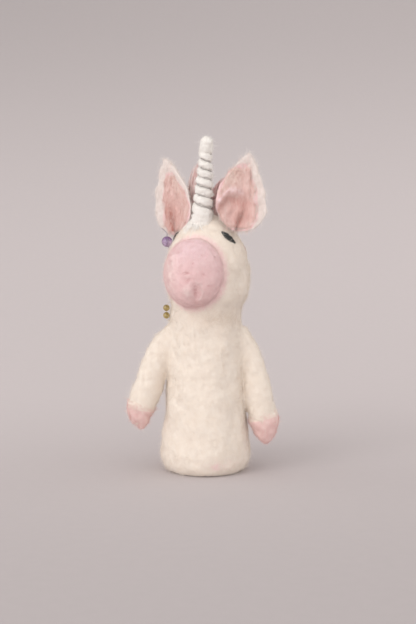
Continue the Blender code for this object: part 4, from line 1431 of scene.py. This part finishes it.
@dataclass
class Lock:
    """A combed lock of the mane: a core and loose strands that follow it.

    The core bends evenly from its first pitch off the head's normal to its last one.
    """

    number: int
    side: float
    angle: float
    length: float
    half_width: float
    half_thickness: float
    lean: float
    first_pitch: float
    last_pitch: float
    looseness: float = 1.15
    sunk: float = 2.0 * MM
    strands: int = 300

    def frame(self, egg: Egg, s: Points) -> tuple[Points, Points, Points]:
        """Middles, widthways directions and outward directions at shares of the length."""
        angle, lean = math.radians(self.angle), math.radians(self.lean)
        first, last = math.radians(self.first_pitch), math.radians(self.last_pitch)
        reach = egg.crown if self.angle <= 90.0 else egg.jaw
        root = np.array([self.side, egg.half_depth * math.sin(angle), reach * math.cos(angle)])
        out = np.array([math.sin(lean), math.sin(angle), math.cos(angle)])
        down = np.array([math.sin(lean), math.cos(angle), -math.sin(angle)])
        pitch = (first + (last - first) * s)[:, None]
        bend = (self.length + self.sunk) / (last - first)
        middles = root - self.sunk * out + bend * out * (np.sin(pitch) - math.sin(first))
        middles = middles + bend * down * (math.cos(first) - np.cos(pitch))
        tangents = unit(out * np.cos(pitch) + down * np.sin(pitch))
        deep = unit(np.cross(tangents, (1.0, 0.0, 0.0)))
        return middles, np.cross(deep, tangents), deep

    def taper(self, s: Points) -> Points:
        """Share of the full width along the lock."""
        return np.sqrt(np.clip(1.0 - s**2.6, 0.0, 1.0)) * (0.72 + 0.28 * np.sin(math.pi * s))

    def core(self, head: Space, egg: Egg) -> Skin:
        """The lock's body, ribbed by combing."""
        s = np.linspace(0.0, 1.0, 70)
        middles, across, deep = self.frame(egg, s)
        angle = ring_angles(72)
        swirl = angle + 0.9 * s[:, None]
        ribs = 1.0 + 0.05 * np.sin(9.0 * swirl + self.number) + 0.04 * np.sin(17.0 * swirl + 2.0 * self.number)
        taper = (self.taper(s)[:, None] * 0.9 + 0.02) * ribs
        wide, thick = self.half_width * taper * np.cos(angle), self.half_thickness * taper * np.sin(angle)
        return Skin.tube(sections(middles, across, deep, wide, thick), middles[0], middles[-1]).set_in(head)

    def wisps(self, head: Space, egg: Egg) -> Skin:
        """Loose strands round the core, each a thin closed tube with its own drift."""
        rng = np.random.default_rng(500 + self.number)
        s = np.linspace(0.0, 1.0, 10)
        middles, across, deep = self.frame(egg, s)
        count = self.strands
        theta = rng.uniform(0.0, math.tau, (count, 1)) + rng.normal(0.0, 0.35, (count, 1)) * s
        stop = rng.uniform(0.78, 1.22, (count, 1))
        spread = self.taper(s)[None] * rng.uniform(0.86, self.looseness, (count, 1)) + 0.14 * s[None] ** 2
        wide = self.half_width * spread * np.cos(theta)
        thick = self.half_thickness * spread * np.sin(theta)
        path = middles[None] + across[None] * wide[..., None] + deep[None] * thick[..., None]
        phase = rng.uniform(0.0, math.tau, (count, 1, 3))
        path = path + 0.28 * MM * np.sin(rng.uniform(4.0, 9.0, (count, 1, 1)) * s[:, None] + phase) * s[:, None]
        base = path[:, :1]
        path = base + (path - base) * (0.5 + 0.5 * stop[:, :, None])
        half = 0.09 * MM * (1.0 - s[None] ** 3) * rng.uniform(0.6, 1.3, (count, 1)) + 0.008 * MM
        turns = np.array([0.0, math.tau / 3, 2 * math.tau / 3])
        ring = across[None, :, None] * np.cos(turns)[:, None] + deep[None, :, None] * np.sin(turns)[:, None]
        points = path[:, :, None] + ring * half[:, :, None, None]
        rows = len(s)
        number = np.arange(rows * 3).reshape(rows, 3)
        after = np.roll(number, -1, axis=1)
        sides = np.concatenate(
            [
                columns(number[:-1], after[:-1], after[1:]).reshape(-1, 3),
                columns(number[:-1], after[1:], number[1:]).reshape(-1, 3),
                [[0, 2, 1], [rows * 3 - 3, rows * 3 - 2, rows * 3 - 1]],
            ]
        )
        tris = (np.arange(count)[:, None, None] * rows * 3 + sides[None]).reshape(-1, 3)
        hue = np.clip(rng.normal(0.5, 0.22, (count, 1)), 0.03, 0.97)
        level = np.repeat(s, 3)[None] * 0.94 + 0.03
        tint_at = (hue + np.tile([-0.006, 0.0, 0.006], rows)[None])[:, sides].reshape(-1)
        up = np.broadcast_to(level, (count, rows * 3))[:, sides].reshape(-1)
        points = head.put(points.reshape(-1, 3))
        return Skin(points, np.empty((0, 4), int), tris, corner_uv=columns(tint_at, up))


@dataclass
class Bead:
    """A round pierced glass bead, a little flat at its two holes."""

    node: str
    hole: float
    slot: str

    def skin(self) -> Skin:
        """The bead where its node is: a rounded outline turned round its hole."""
        low, high = (np.array(corner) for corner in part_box(self.node))
        middle, radius = (low + high) / 2, (high[0] - low[0]) / 2
        edge = math.acos(self.hole / 2 / radius)
        outside = np.linspace(edge, -edge, 44)
        inside = np.linspace(-1.0, 1.0, 14)[1:-1]
        flat = radius * math.sin(edge)
        rows = np.concatenate(
            [
                columns(radius * np.cos(outside), radius * np.sin(outside)),
                columns(self.hole / 2 * (1.0 - 0.12 * (1.0 - inside**2)), flat * inside),
            ]
        )
        rings = turned(rows[:, :1], rows[:, 1:], ring_angles(64))
        count, sides = rings.shape[:2]
        number = np.arange(count * sides).reshape(count, sides)
        after, above = np.roll(number, -1, axis=1), np.roll(number, -1, axis=0)
        quads = columns(number, after, np.roll(after, -1, axis=0), above).reshape(-1, 4)
        # share towards the top, where the glass is painted darker as shade
        upper = smooth_step(-0.35, 0.75, rings[..., 2] / radius).ravel()
        return Skin(rings.reshape(-1, 3) + middle, quads, np.empty((0, 3), int), {"upper": upper}).facing_out()


@dataclass
class Puppet:
    """The whole puppet, built piece by piece."""

    egg: Egg = field(default_factory=Egg)
    sleeve: Sleeve = field(default_factory=Sleeve)
    muzzle: Muzzle = field(default_factory=Muzzle)
    horn: Horn = field(default_factory=Horn)
    head_side: float = 0.7 * MM
    head_above_neck: float = 13.0 * MM
    head_turn: float = -22.0
    bead_gap: float = 0.3 * MM
    bead_forward: float = 2.0 * MM
    grain: float = 0.42 * MM
    neckline: float = 47.0 * MM
    pad_margin: float = 0.7 * MM

    def __post_init__(self) -> None:
        """Finds the puppet's axis and the head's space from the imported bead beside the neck."""
        low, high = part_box("upper_yellow_bead")
        reach = self.sleeve.neck_radius + self.bead_gap + (high.x - low.x) / 2
        middle = (low + high) / 2 + Vector((math.sqrt(reach**2 - self.bead_forward**2), self.bead_forward, 0.0))
        self.stand = Space.at((middle.x, middle.y, 0.0))
        place = (self.head_side, 0.0, self.sleeve.height + self.head_above_neck)
        self.head = Space.at(place, (0.0, 0.0, self.head_turn)).inside(self.stand)
        self.arms = [
            Arm(
                Side.RIGHT,
                (
                    (-1.9, 7.6, 0.0, 4.3), (2.2, 11.2, 0.6, 4.2), (5.0, 17.0, 1.6, 4.4),
                    (6.6, 22.9, 2.3, 4.75), (8.3, 27.5, 2.8, 4.8), (9.7, 31.9, 3.0, 4.5),
                    (9.9, 34.9, 3.0, 3.4), (9.6, 37.0, 3.0, 2.2), (9.6, 38.9, 3.0, 0.5),
                ),
                7.2 * MM,
            ),
            Arm(
                Side.LEFT,
                (
                    (-1.5, 7.3, 0.0, 4.3), (1.9, 11.8, 0.6, 3.8), (3.9, 16.9, 1.6, 3.8),
                    (5.1, 23.2, 2.3, 4.35), (5.8, 27.8, 2.8, 4.75), (6.6, 32.1, 3.0, 4.7),
                    (7.6, 35.9, 3.0, 4.7), (8.1, 39.7, 3.0, 3.6), (8.4, 42.6, 3.0, 1.9),
                    (8.5, 43.8, 3.0, 0.5),
                ),
                9.0 * MM,
            ),
        ]
        self.ears = [
            Ear(Side.LEFT, 10.9 * MM, 7.2, 3.4 * MM, 1.2 * MM, 25.5 * MM, 13.2 * MM, (0.74, 0.56), inner_share=0.93),
            Ear(
                Side.RIGHT, 10.3 * MM, 0.8, 1.8 * MM, 7.5 * MM, 26.5 * MM, 12.2 * MM, (0.75, 0.62), rim=0.40, top=0.81
            ),
        ]
        self.eyes = [Eye("left_eye", 62.0), Eye("right_eye", -71.5)]
        self.locks = [
            Lock(number, side * MM, angle, length * MM, width * MM, thick * MM, lean, first, last, loose)
            for number, side, angle, length, width, thick, lean, first, last, loose in (
                (1, -3.1, 8.0, 18.0, 3.4, 2.6, -6.0, -8.0, 22.0, 1.45),
                (2, 3.3, 10.0, 13.0, 3.4, 2.6, 2.0, -8.0, 30.0, 1.3),
                (3, -0.6, 31.0, 14.0, 5.0, 2.3, -4.0, 26.0, 132.0, 1.2),
                (4, 0.8, 53.0, 13.0, 5.3, 2.3, 6.0, 36.0, 142.0, 1.2),
                (5, -0.8, 75.0, 13.0, 5.3, 2.3, -6.0, 40.0, 145.0, 1.2),
                (6, 0.6, 97.0, 14.0, 4.9, 2.2, 4.0, 42.0, 128.0, 1.2),
            )
        ]

    def pad_reach(self, points: Points) -> Points:
        """How far points are from the muzzle's middle, as a share of the way to just outside its skin."""
        pad = self.muzzle
        middle = np.array([0.0, pad.sink - pad.head_half_depth, -pad.drop])
        reach = np.array([pad.half_width, pad.half_depth, pad.half_height]) + self.pad_margin
        return np.linalg.norm((self.head.take(points) - middle) / reach, axis=1)

    def pinkness(self, points: Points) -> Points:
        """How much of the muzzle's pink has worked into the cream near it, from 0 to 1."""
        return 0.62 * smooth_step(1.24, 0.96, self.pad_reach(points))

    def build_body(self) -> None:
        """Sleeve, head and arms felted into one skin, with its fuzz."""
        ball = Skin.ball(110, 140)
        head = ball.moved(self.head.put(self.egg.shape(ball.points)))
        pad = ball.moved(self.head.put(self.muzzle.shape(ball.points, -0.35 * MM, 1.6 * MM)))
        limbs = [arm.limb(self.stand) for arm in self.arms]
        skin = felted_together([self.sleeve.skin(self.stand), head, pad, *limbs], self.grain)
        centred = self.stand.take(skin.points)
        shoulder = smooth_step(7.0 * MM, 9.5 * MM, np.abs(centred[:, 0])) * bump(centred[:, 2], 44.0 * MM, 9.0 * MM)
        neck = bump(centred[:, 2], 54.0 * MM, 3.0 * MM)
        rim = bump(self.pad_reach(skin.points), 1.08, 0.19)
        skin = skin.relaxed(4).relaxed(45, np.clip(shoulder + 0.45 * neck + rim, 0.0, 1.0))
        inside = self.sleeve.in_pocket(centred, 1.0 * MM)
        uneven = lumps_at(skin.points, (3.2, 0.05, 12), (1.4, 0.018, 13))
        facing = smooth_step(-0.2, 0.5, -centred[:, 1] / self.sleeve.hem_radius)
        crease = bump(centred[:, 2] - 0.05 * centred[:, 0], 31.5 * MM, 0.7 * MM) * facing
        crease *= smooth_step(9.0 * MM, 3.0 * MM, centred[:, 0])
        skin = skin.raised(np.where(inside, 0.25, 1.0) * uneven - 0.16 * MM * crease)
        skin.points[:, 2] = np.maximum(skin.points[:, 2], 0.0)
        blush = bump(centred[:, 0], 5.5 * MM, 9.0 * MM) * bump(centred[:, 2], 4.0 * MM, 3.5 * MM) * facing
        # painted shadow on the neck below the muzzle, where the head overhangs it
        chin = bump(centred[:, 0], 4.5 * MM, 8.0 * MM) * bump(centred[:, 2], 51.0 * MM, 3.2 * MM) * facing
        skin.values["tan"] = chin
        stain = bump(centred[:, 0], 3.2 * MM, 1.4 * MM) * bump(centred[:, 2], 3.4 * MM, 1.2 * MM) * facing
        skin.values["pinkness"] = np.clip(self.pinkness(skin.points) + 0.26 * blush + 0.4 * stain, 0.0, 1.0)
        cream = WoolFinish(
            "cream_felt", CREAM, CREAM_SHADE, PINK, PINK_SHADE, "pinkness", (0.1, 0.9), mottling=0.35, tan="tan"
        ).build()
        body = add_piece(
            "felt_body", skin, cream, ["torso_sleeve", "head", "left_arm", "right_arm"]
        )

        def outside(middles: Points, normals: Points) -> Points:
            """1 on the outer skin that no other piece covers."""
            at = self.stand.take(middles)
            pocket = self.sleeve.in_pocket(at, 1.4 * MM)
            covered = self.pinkness(middles) > 0.5
            hoofed = (np.abs(at[:, 0]) > 15.2 * MM) & (at[:, 2] < 15.0 * MM)
            return np.where(pocket | covered | hoofed, 0.0, 1.0)

        fibres = FibreFinish("cream_fibres", paints((238, 225, 212), (245, 235, 225), (251, 246, 240))).build()
        regions = {
            "lower_body_fuzz": (
                Fuzz(19000, 2.6 * MM, 101, grain=(0.0, 0.0, 0.9)), lambda at: at[:, 2] < self.neckline
            ),
            "head_fuzz": (Fuzz(14500, 2.3 * MM, 102), lambda at: at[:, 2] >= self.neckline),
        }
        for name, (fuzz, region) in regions.items():
            grown = fuzz.grown(
                skin,
                0.5,
                lambda middles, normals: outside(middles, normals) * region(self.stand.take(middles)),
            )
            add_piece(name, grown, fibres)

    def build_hooves(self) -> None:
        """The pink tips of both arms."""
        finish = WoolFinish(
            "hoof_felt", CREAM, CREAM_SHADE, paint(237, 206, 201), paint(229, 190, 185), "pinkness", (0.1, 0.9)
        ).build()
        fibres = FibreFinish("hoof_fibres", paints((226, 180, 178), (238, 202, 198), (245, 224, 216))).build()
        for arm in self.arms:
            skin = arm.hoof(self.stand)
            piece = add_piece(
                f"{arm.side.word}_hoof_tip", skin, finish, [f"{arm.side.word}_hoof"]
            )
            fuzz = Fuzz(1500, 1.7 * MM, 111, grain=(0.0, 0.0, 0.9))
            grown = fuzz.grown(skin, 0.45)
            add_piece(f"{arm.side.word}_hoof_fuzz", grown, fibres)

    def build_muzzle(self) -> None:
        """The pink pad on the face."""
        skin = self.muzzle.skin(self.head, self.egg)
        finish = MuzzleFinish("muzzle_felt").build()
        piece = add_piece("muzzle_pad", skin, finish, ["muzzle"])
        fibres = FibreFinish(
            "muzzle_fibres",
            paints((196, 138, 140), (232, 192, 192), (243, 213, 213), (248, 228, 226), (249, 239, 231)),
        ).build()

        def tint(roots: Points) -> Points:
            """Rosier below, paler above, cream where the pad meets the head's top."""
            local = self.head.take(roots)
            up = local[:, 2] + self.muzzle.drop
            _, deep, pale = self.muzzle.marks(local[:, 0] / MM, up / MM)
            front = smooth_step(0.0, 3.0 * MM, -(local[:, 1] + self.muzzle.head_half_depth))
            # the fibres darken where the marks hold painted shade, and lighten on the pale wool
            return 0.6 + 0.06 * up / self.muzzle.half_height + (0.3 * pale - 0.42 * deep) * front

        def shown(middles: Points, normals: Points) -> Points:
            """1 where the pad stands out of the head."""
            return np.where(self.egg.depth_in(self.head.take(middles)) < 0.4 * MM, 1.0, 0.0)

        grown = Fuzz(8500, 2.1 * MM, 121, grain=(0.0, 0.0, 0.5)).grown(skin, tint, shown)
        add_piece("muzzle_fuzz", grown, fibres)

    def build_ears(self) -> None:
        """Both ears with their linings and fuzz."""
        cream = WoolFinish(
            "ear_felt", EAR, EAR_SHADE, PINK, PINK_SHADE, "pinkness", (0.15, 0.9), mottling=0.3
        ).build()
        lining = LiningFinish("lining_felt").build()
        fibres = FibreFinish("ear_fibres", paints((234, 220, 212), (242, 232, 226), (249, 243, 238))).build()
        pink = FibreFinish("lining_fibres", paints((224, 182, 174), (236, 204, 196), (246, 224, 218))).build()
        for ear in self.ears:
            space = ear.space(self.head)
            word = ear.side.word
            leaf = ear.leaf_skin(space)
            add_piece(f"{word}_ear_felt", leaf, cream, [f"{word}_ear"])
            inner = ear.lining_skin(space)
            add_piece(f"{word}_ear_inside", inner, lining, [f"{word}_ear_lining"])
            up = tuple(space.matrix[:3, 2])

            def outward(middles: Points, normals: Points, space: Space = space, ear: Ear = ear) -> Points:
                """Denser towards the ear's outer edge than on its inner one."""
                return smooth_step(-0.55, 0.1, ear.side.value * space.take(middles)[:, 0] / ear.width) * 0.85 + 0.15

            grown = Fuzz(4600, 2.1 * MM, 131, grain=up, stray=0.8, flyaway_share=0.13).grown(leaf, 0.5, outward)
            add_piece(f"{word}_ear_fuzz", grown, fibres)

            def front(middles: Points, normals: Points, space: Space = space) -> Points:
                """1 on the side that faces forward in the ear's space."""
                return np.where((normals @ space.matrix[:3, :3])[:, 1] < -0.1, 1.0, 0.0)

            grown = Fuzz(2600, 2.3 * MM, 132, grain=up, stray=0.45).grown(inner, 0.5, front)
            add_piece(f"{word}_lining_fuzz", grown, pink)

    def build_horn(self) -> None:
        """The wound horn, its thread and the strands at its root."""
        space = self.horn.space(self.head, self.egg)
        white = WoolFinish("horn_wool", WHITE, WHITE_SHADE, mottling=0.45, pits=0.2, relief=0.1 * MM).build()
        skin = self.horn.skin(space)
        add_piece("horn_wool", skin, white, ["horn"])
        strands = ThreadFinish("horn_strands", paint(252, 249, 245), paint(238, 231, 224), 0.0).build()
        add_piece("horn_root_strands", self.horn.root_strands(self.head, self.egg), strands)
        silver = ThreadFinish("silver_thread", paint(210, 204, 200), paint(160, 154, 152), 0.3).build()
        add_piece("horn_winding", self.horn.thread(space), silver, ["horn_thread"])
        fibres = FibreFinish("horn_fibres", paints((232, 224, 214), (246, 241, 236), (255, 253, 250))).build()

        def above(middles: Points, normals: Points) -> Points:
            """Denser on the bare tip than on the wound part."""
            s = space.take(middles)[:, 2] / self.horn.length
            return np.where(s > self.horn.thread_end, 1.0, np.where(s > 0.0, 0.45, 0.0))

        around = Fuzz(2600, 1.5 * MM, 141, half_width=0.025 * MM, flyaway_share=0.05, lift=5.0)
        add_piece("horn_fuzz", around.grown(skin, 0.6, above), fibres)

    def build_eyes(self) -> None:
        """Both eyes."""
        finish = WoolFinish(
            "black_felt", BLACK, BLACK_SHADE, mottling=0.8, pits=0.3, sheen=0.1, roughness=0.5, shine=0.6
        ).build()
        # the eye's fibres run from black to light grey; the lighter greys are partly stray grey wool and partly a
        # painted highlight
        fibres = FibreFinish("eye_fibres", paints((14, 16, 16), (40, 46, 46), (110, 118, 116)), 0.9, 0.55).build()
        for eye in self.eyes:
            skin = eye.skin(self.head, self.egg)
            add_piece(f"{eye.node}_felt", skin, finish, [eye.node])
            fuzz = Fuzz(260, 0.8 * MM, 151, half_width=0.035 * MM, lift=4.0, lift_spread=4.0, flyaway_share=0.0)
            grown = fuzz.grown(skin, 0.4)
            add_piece(f"{eye.node}_fuzz", grown, fibres)

    def build_mane(self) -> None:
        """The locks from behind the horn to the nape."""
        felt = WoolFinish("mane_wool", MANE, MANE_SHADE, mottling=0.9, pits=0.2, relief=0.22 * MM).build()
        # painted light: the front lock lies in the shade of the ear and horn, so it gets a much lighter copy of the
        # mane's wool and strands
        light = WoolFinish(
            "mane_front_painted_light_wool", paint(253, 232, 226), paint(244, 214, 208), mottling=0.9, relief=0.22 * MM
        ).build()
        fibres = FibreFinish("mane_strands", paints((188, 130, 130), (216, 170, 167), (236, 204, 199))).build()
        pale = FibreFinish("mane_front_painted_light_strands", paints((232, 186, 184), (248, 220, 215), (253, 242, 236))).build()
        for lock in self.locks:
            name = f"mane_lock_{lock.number}"
            first = lock.number == 1
            add_piece(f"{name}_core", lock.core(self.head, self.egg), light if first else felt, [name])
            add_piece(f"{name}_wisps", lock.wisps(self.head, self.egg), pale if first else fibres)

    def build_beads(self) -> None:
        """The three glass beads and the thread that holds them."""
        purple = GlassFinish("purple_glass", paint(230, 210, 234), paint(156, 112, 174), 0.7)
        olive = GlassFinish("olive_glass", paint(222, 202, 140), paint(190, 166, 96), 0.65)
        beads = [
            (Bead("purple_bead", 1.0 * MM, "purple_glass"), purple),
            (Bead("upper_yellow_bead", 0.7 * MM, "olive_glass"), olive),
            (Bead("lower_yellow_bead", 0.7 * MM, "olive_glass"), olive),
        ]
        finishes = {finish.name: finish.build() for _, finish in beads}
        for bead, finish in beads:
            add_piece(f"{bead.node}_glass", bead.skin(), finishes[finish.name], [bead.node])
        thread = ThreadFinish("grey_thread", paint(186, 180, 186), paint(130, 126, 134), 0.3).build()
        pale_thread = ThreadFinish("pale_thread", paint(230, 218, 204), paint(206, 192, 176), 0.0).build()
        low, high = (np.array(corner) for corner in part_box("purple_bead"))
        middle, radius = (low + high) / 2, (high[0] - low[0]) / 2
        route = np.array(
            [
                (3.2, 0.6, -1.0), (1.5, 0.3, -1.25), (0.25, 0.05, -1.05), (0.0, 0.0, 0.0),
                (0.0, 0.0, 1.1), (0.0, -0.05, 1.5), (-0.45, -0.1, 2.05), (-1.0, -0.15, 2.5),
            ]
        )
        path, _ = smooth_route(middle + route * radius, 8)
        add_piece("purple_bead_thread", thread_skin(path, 0.15 * MM), thread)
        low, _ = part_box("lower_yellow_bead")
        _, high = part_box("upper_yellow_bead")
        middle = (np.array(low) + np.array(high)) / 2
        route = np.array(
            [
                (2.2, 0.0, 2.9), (0.9, 0.0, 2.95), (0.0, 0.0, 2.2), (0.0, 0.0, 0.0),
                (0.0, 0.0, -2.2), (0.9, 0.0, -2.95), (2.2, 0.0, -2.9),
            ]
        )
        path, _ = smooth_route(middle + route * MM, 8)
        add_piece("yellow_bead_thread", thread_skin(path, 0.1 * MM), pale_thread)

    def build(self) -> None:
        """All the pieces in order."""
        self.build_body()
        self.build_hooves()
        self.build_muzzle()
        self.build_ears()
        self.build_horn()
        self.build_eyes()
        self.build_mane()
        self.build_beads()


@dataclass
class Studio:
    """Seamless pale backdrop, soft lights and the camera."""

    backdrop: Colour = paint(215, 206, 206)
    floor_reach: float = 1.4
    wall_distance: float = 0.1
    curve_radius: float = 0.85
    wall_height: float = 1.6
    target: tuple[float, float, float] = (1.77 * MM, 0.22 * MM, 52.7 * MM)
    distance: float = 0.3
    elevation: float = 3.0
    focal_pixels: float = 900.0
    image_height: float = 624.0
    sensor: float = 36.0

    def build_backdrop(self) -> None:
        """A floor that sweeps up into a wall: a profile drawn out along X."""
        bend = np.linspace(0.0, math.pi / 2, 24)
        floor = [(-self.floor_reach, 0.0)]
        curve = columns(
            self.wall_distance + self.curve_radius * np.sin(bend), self.curve_radius * (1.0 - np.cos(bend))
        )
        wall = [(self.wall_distance + self.curve_radius, self.wall_height)]
        rows = np.concatenate([floor, curve, wall])
        across = np.array([-self.floor_reach, self.floor_reach])
        points = columns(across[None, :], rows[:, :1], rows[:, 1:])
        number = np.arange(len(rows) * 2).reshape(-1, 2)
        quads = columns(number[:-1, 0], number[:-1, 1], number[1:, 1], number[1:, 0])
        mesh = Skin(points.reshape(-1, 3), quads, np.empty((0, 3), int)).mesh("backdrop")
        mesh.materials.append(BackdropFinish("backdrop_paper", self.backdrop, 0.26, 0.2).build())
        item = bpy.data.objects.new("backdrop", mesh)
        bpy.context.scene.collection.objects.link(item)

    def add_lamp(self, name: str, place: Sequence[float], size: float, power: float, colour: Colour) -> None:
        """A square soft lamp aimed at the middle of the puppet."""
        data = bpy.data.lights.new(name, "AREA")
        data.shape = "SQUARE"
        data.size = size
        data.energy = power
        data.color = colour
        lamp = bpy.data.objects.new(name, data)
        lamp.location = place
        aim = Vector(self.target) - Vector(place)
        lamp.rotation_euler = aim.to_track_quat("-Z", "Y").to_euler()
        bpy.context.scene.collection.objects.link(lamp)

    def build_light(self) -> None:
        """An even pale sky, a soft key from the upper left and a weaker fill from low in front."""
        world = bpy.data.worlds.new("studio_sky")
        world.use_nodes = True
        tree = world.node_tree
        sky = tree.nodes["Background"]
        sky.inputs["Color"].default_value = (1.0, 0.985, 0.97, 1.0)
        sky.inputs["Strength"].default_value = 0.94
        seen = tree.nodes.new("ShaderNodeBackground")
        seen.inputs["Color"].default_value = (*self.backdrop, 1.0)
        rays = tree.nodes.new("ShaderNodeLightPath")
        choice = tree.nodes.new("ShaderNodeMixShader")
        tree.links.new(rays.outputs["Is Camera Ray"], choice.inputs[0])
        tree.links.new(sky.outputs[0], choice.inputs[1])
        tree.links.new(seen.outputs[0], choice.inputs[2])
        tree.links.new(choice.outputs[0], tree.nodes["World Output"].inputs["Surface"])
        bpy.context.scene.world = world
        self.add_lamp("key_softbox", (-0.5, -0.52, 0.36), 0.5, 1.8, (1.0, 0.99, 0.98))
        self.add_lamp("fill_softbox", (-0.02, -0.58, 0.03), 0.5, 0.95, (1.0, 0.99, 0.99))

    def build_camera(self) -> None:
        """The camera at the photograph's angle. Its focal length is pixels * sensor / height."""
        data = bpy.data.cameras.new("camera")
        data.sensor_width = self.sensor
        data.lens = self.focal_pixels * self.sensor / self.image_height
        data.clip_start, data.clip_end = 0.01, 10.0
        camera = bpy.data.objects.new("camera", data)
        rise = math.radians(self.elevation)
        back = Vector((0.0, -math.cos(rise), math.sin(rise)))
        camera.location = Vector(self.target) + back * self.distance
        camera.rotation_euler = (-back).to_track_quat("-Z", "Y").to_euler()
        bpy.context.scene.collection.objects.link(camera)
        bpy.context.scene.camera = camera

    def build(self) -> None:
        """Backdrop, light and camera."""
        self.build_backdrop()
        self.build_light()
        self.build_camera()


def main() -> None:
    """Builds the studio and the puppet."""
    logging.basicConfig(level=logging.INFO, format="%(name)s: %(message)s")
    bpy.context.scene.view_settings.view_transform = "Standard"
    Studio().build()
    Puppet().build()


if __name__ == "__main__":
    main()
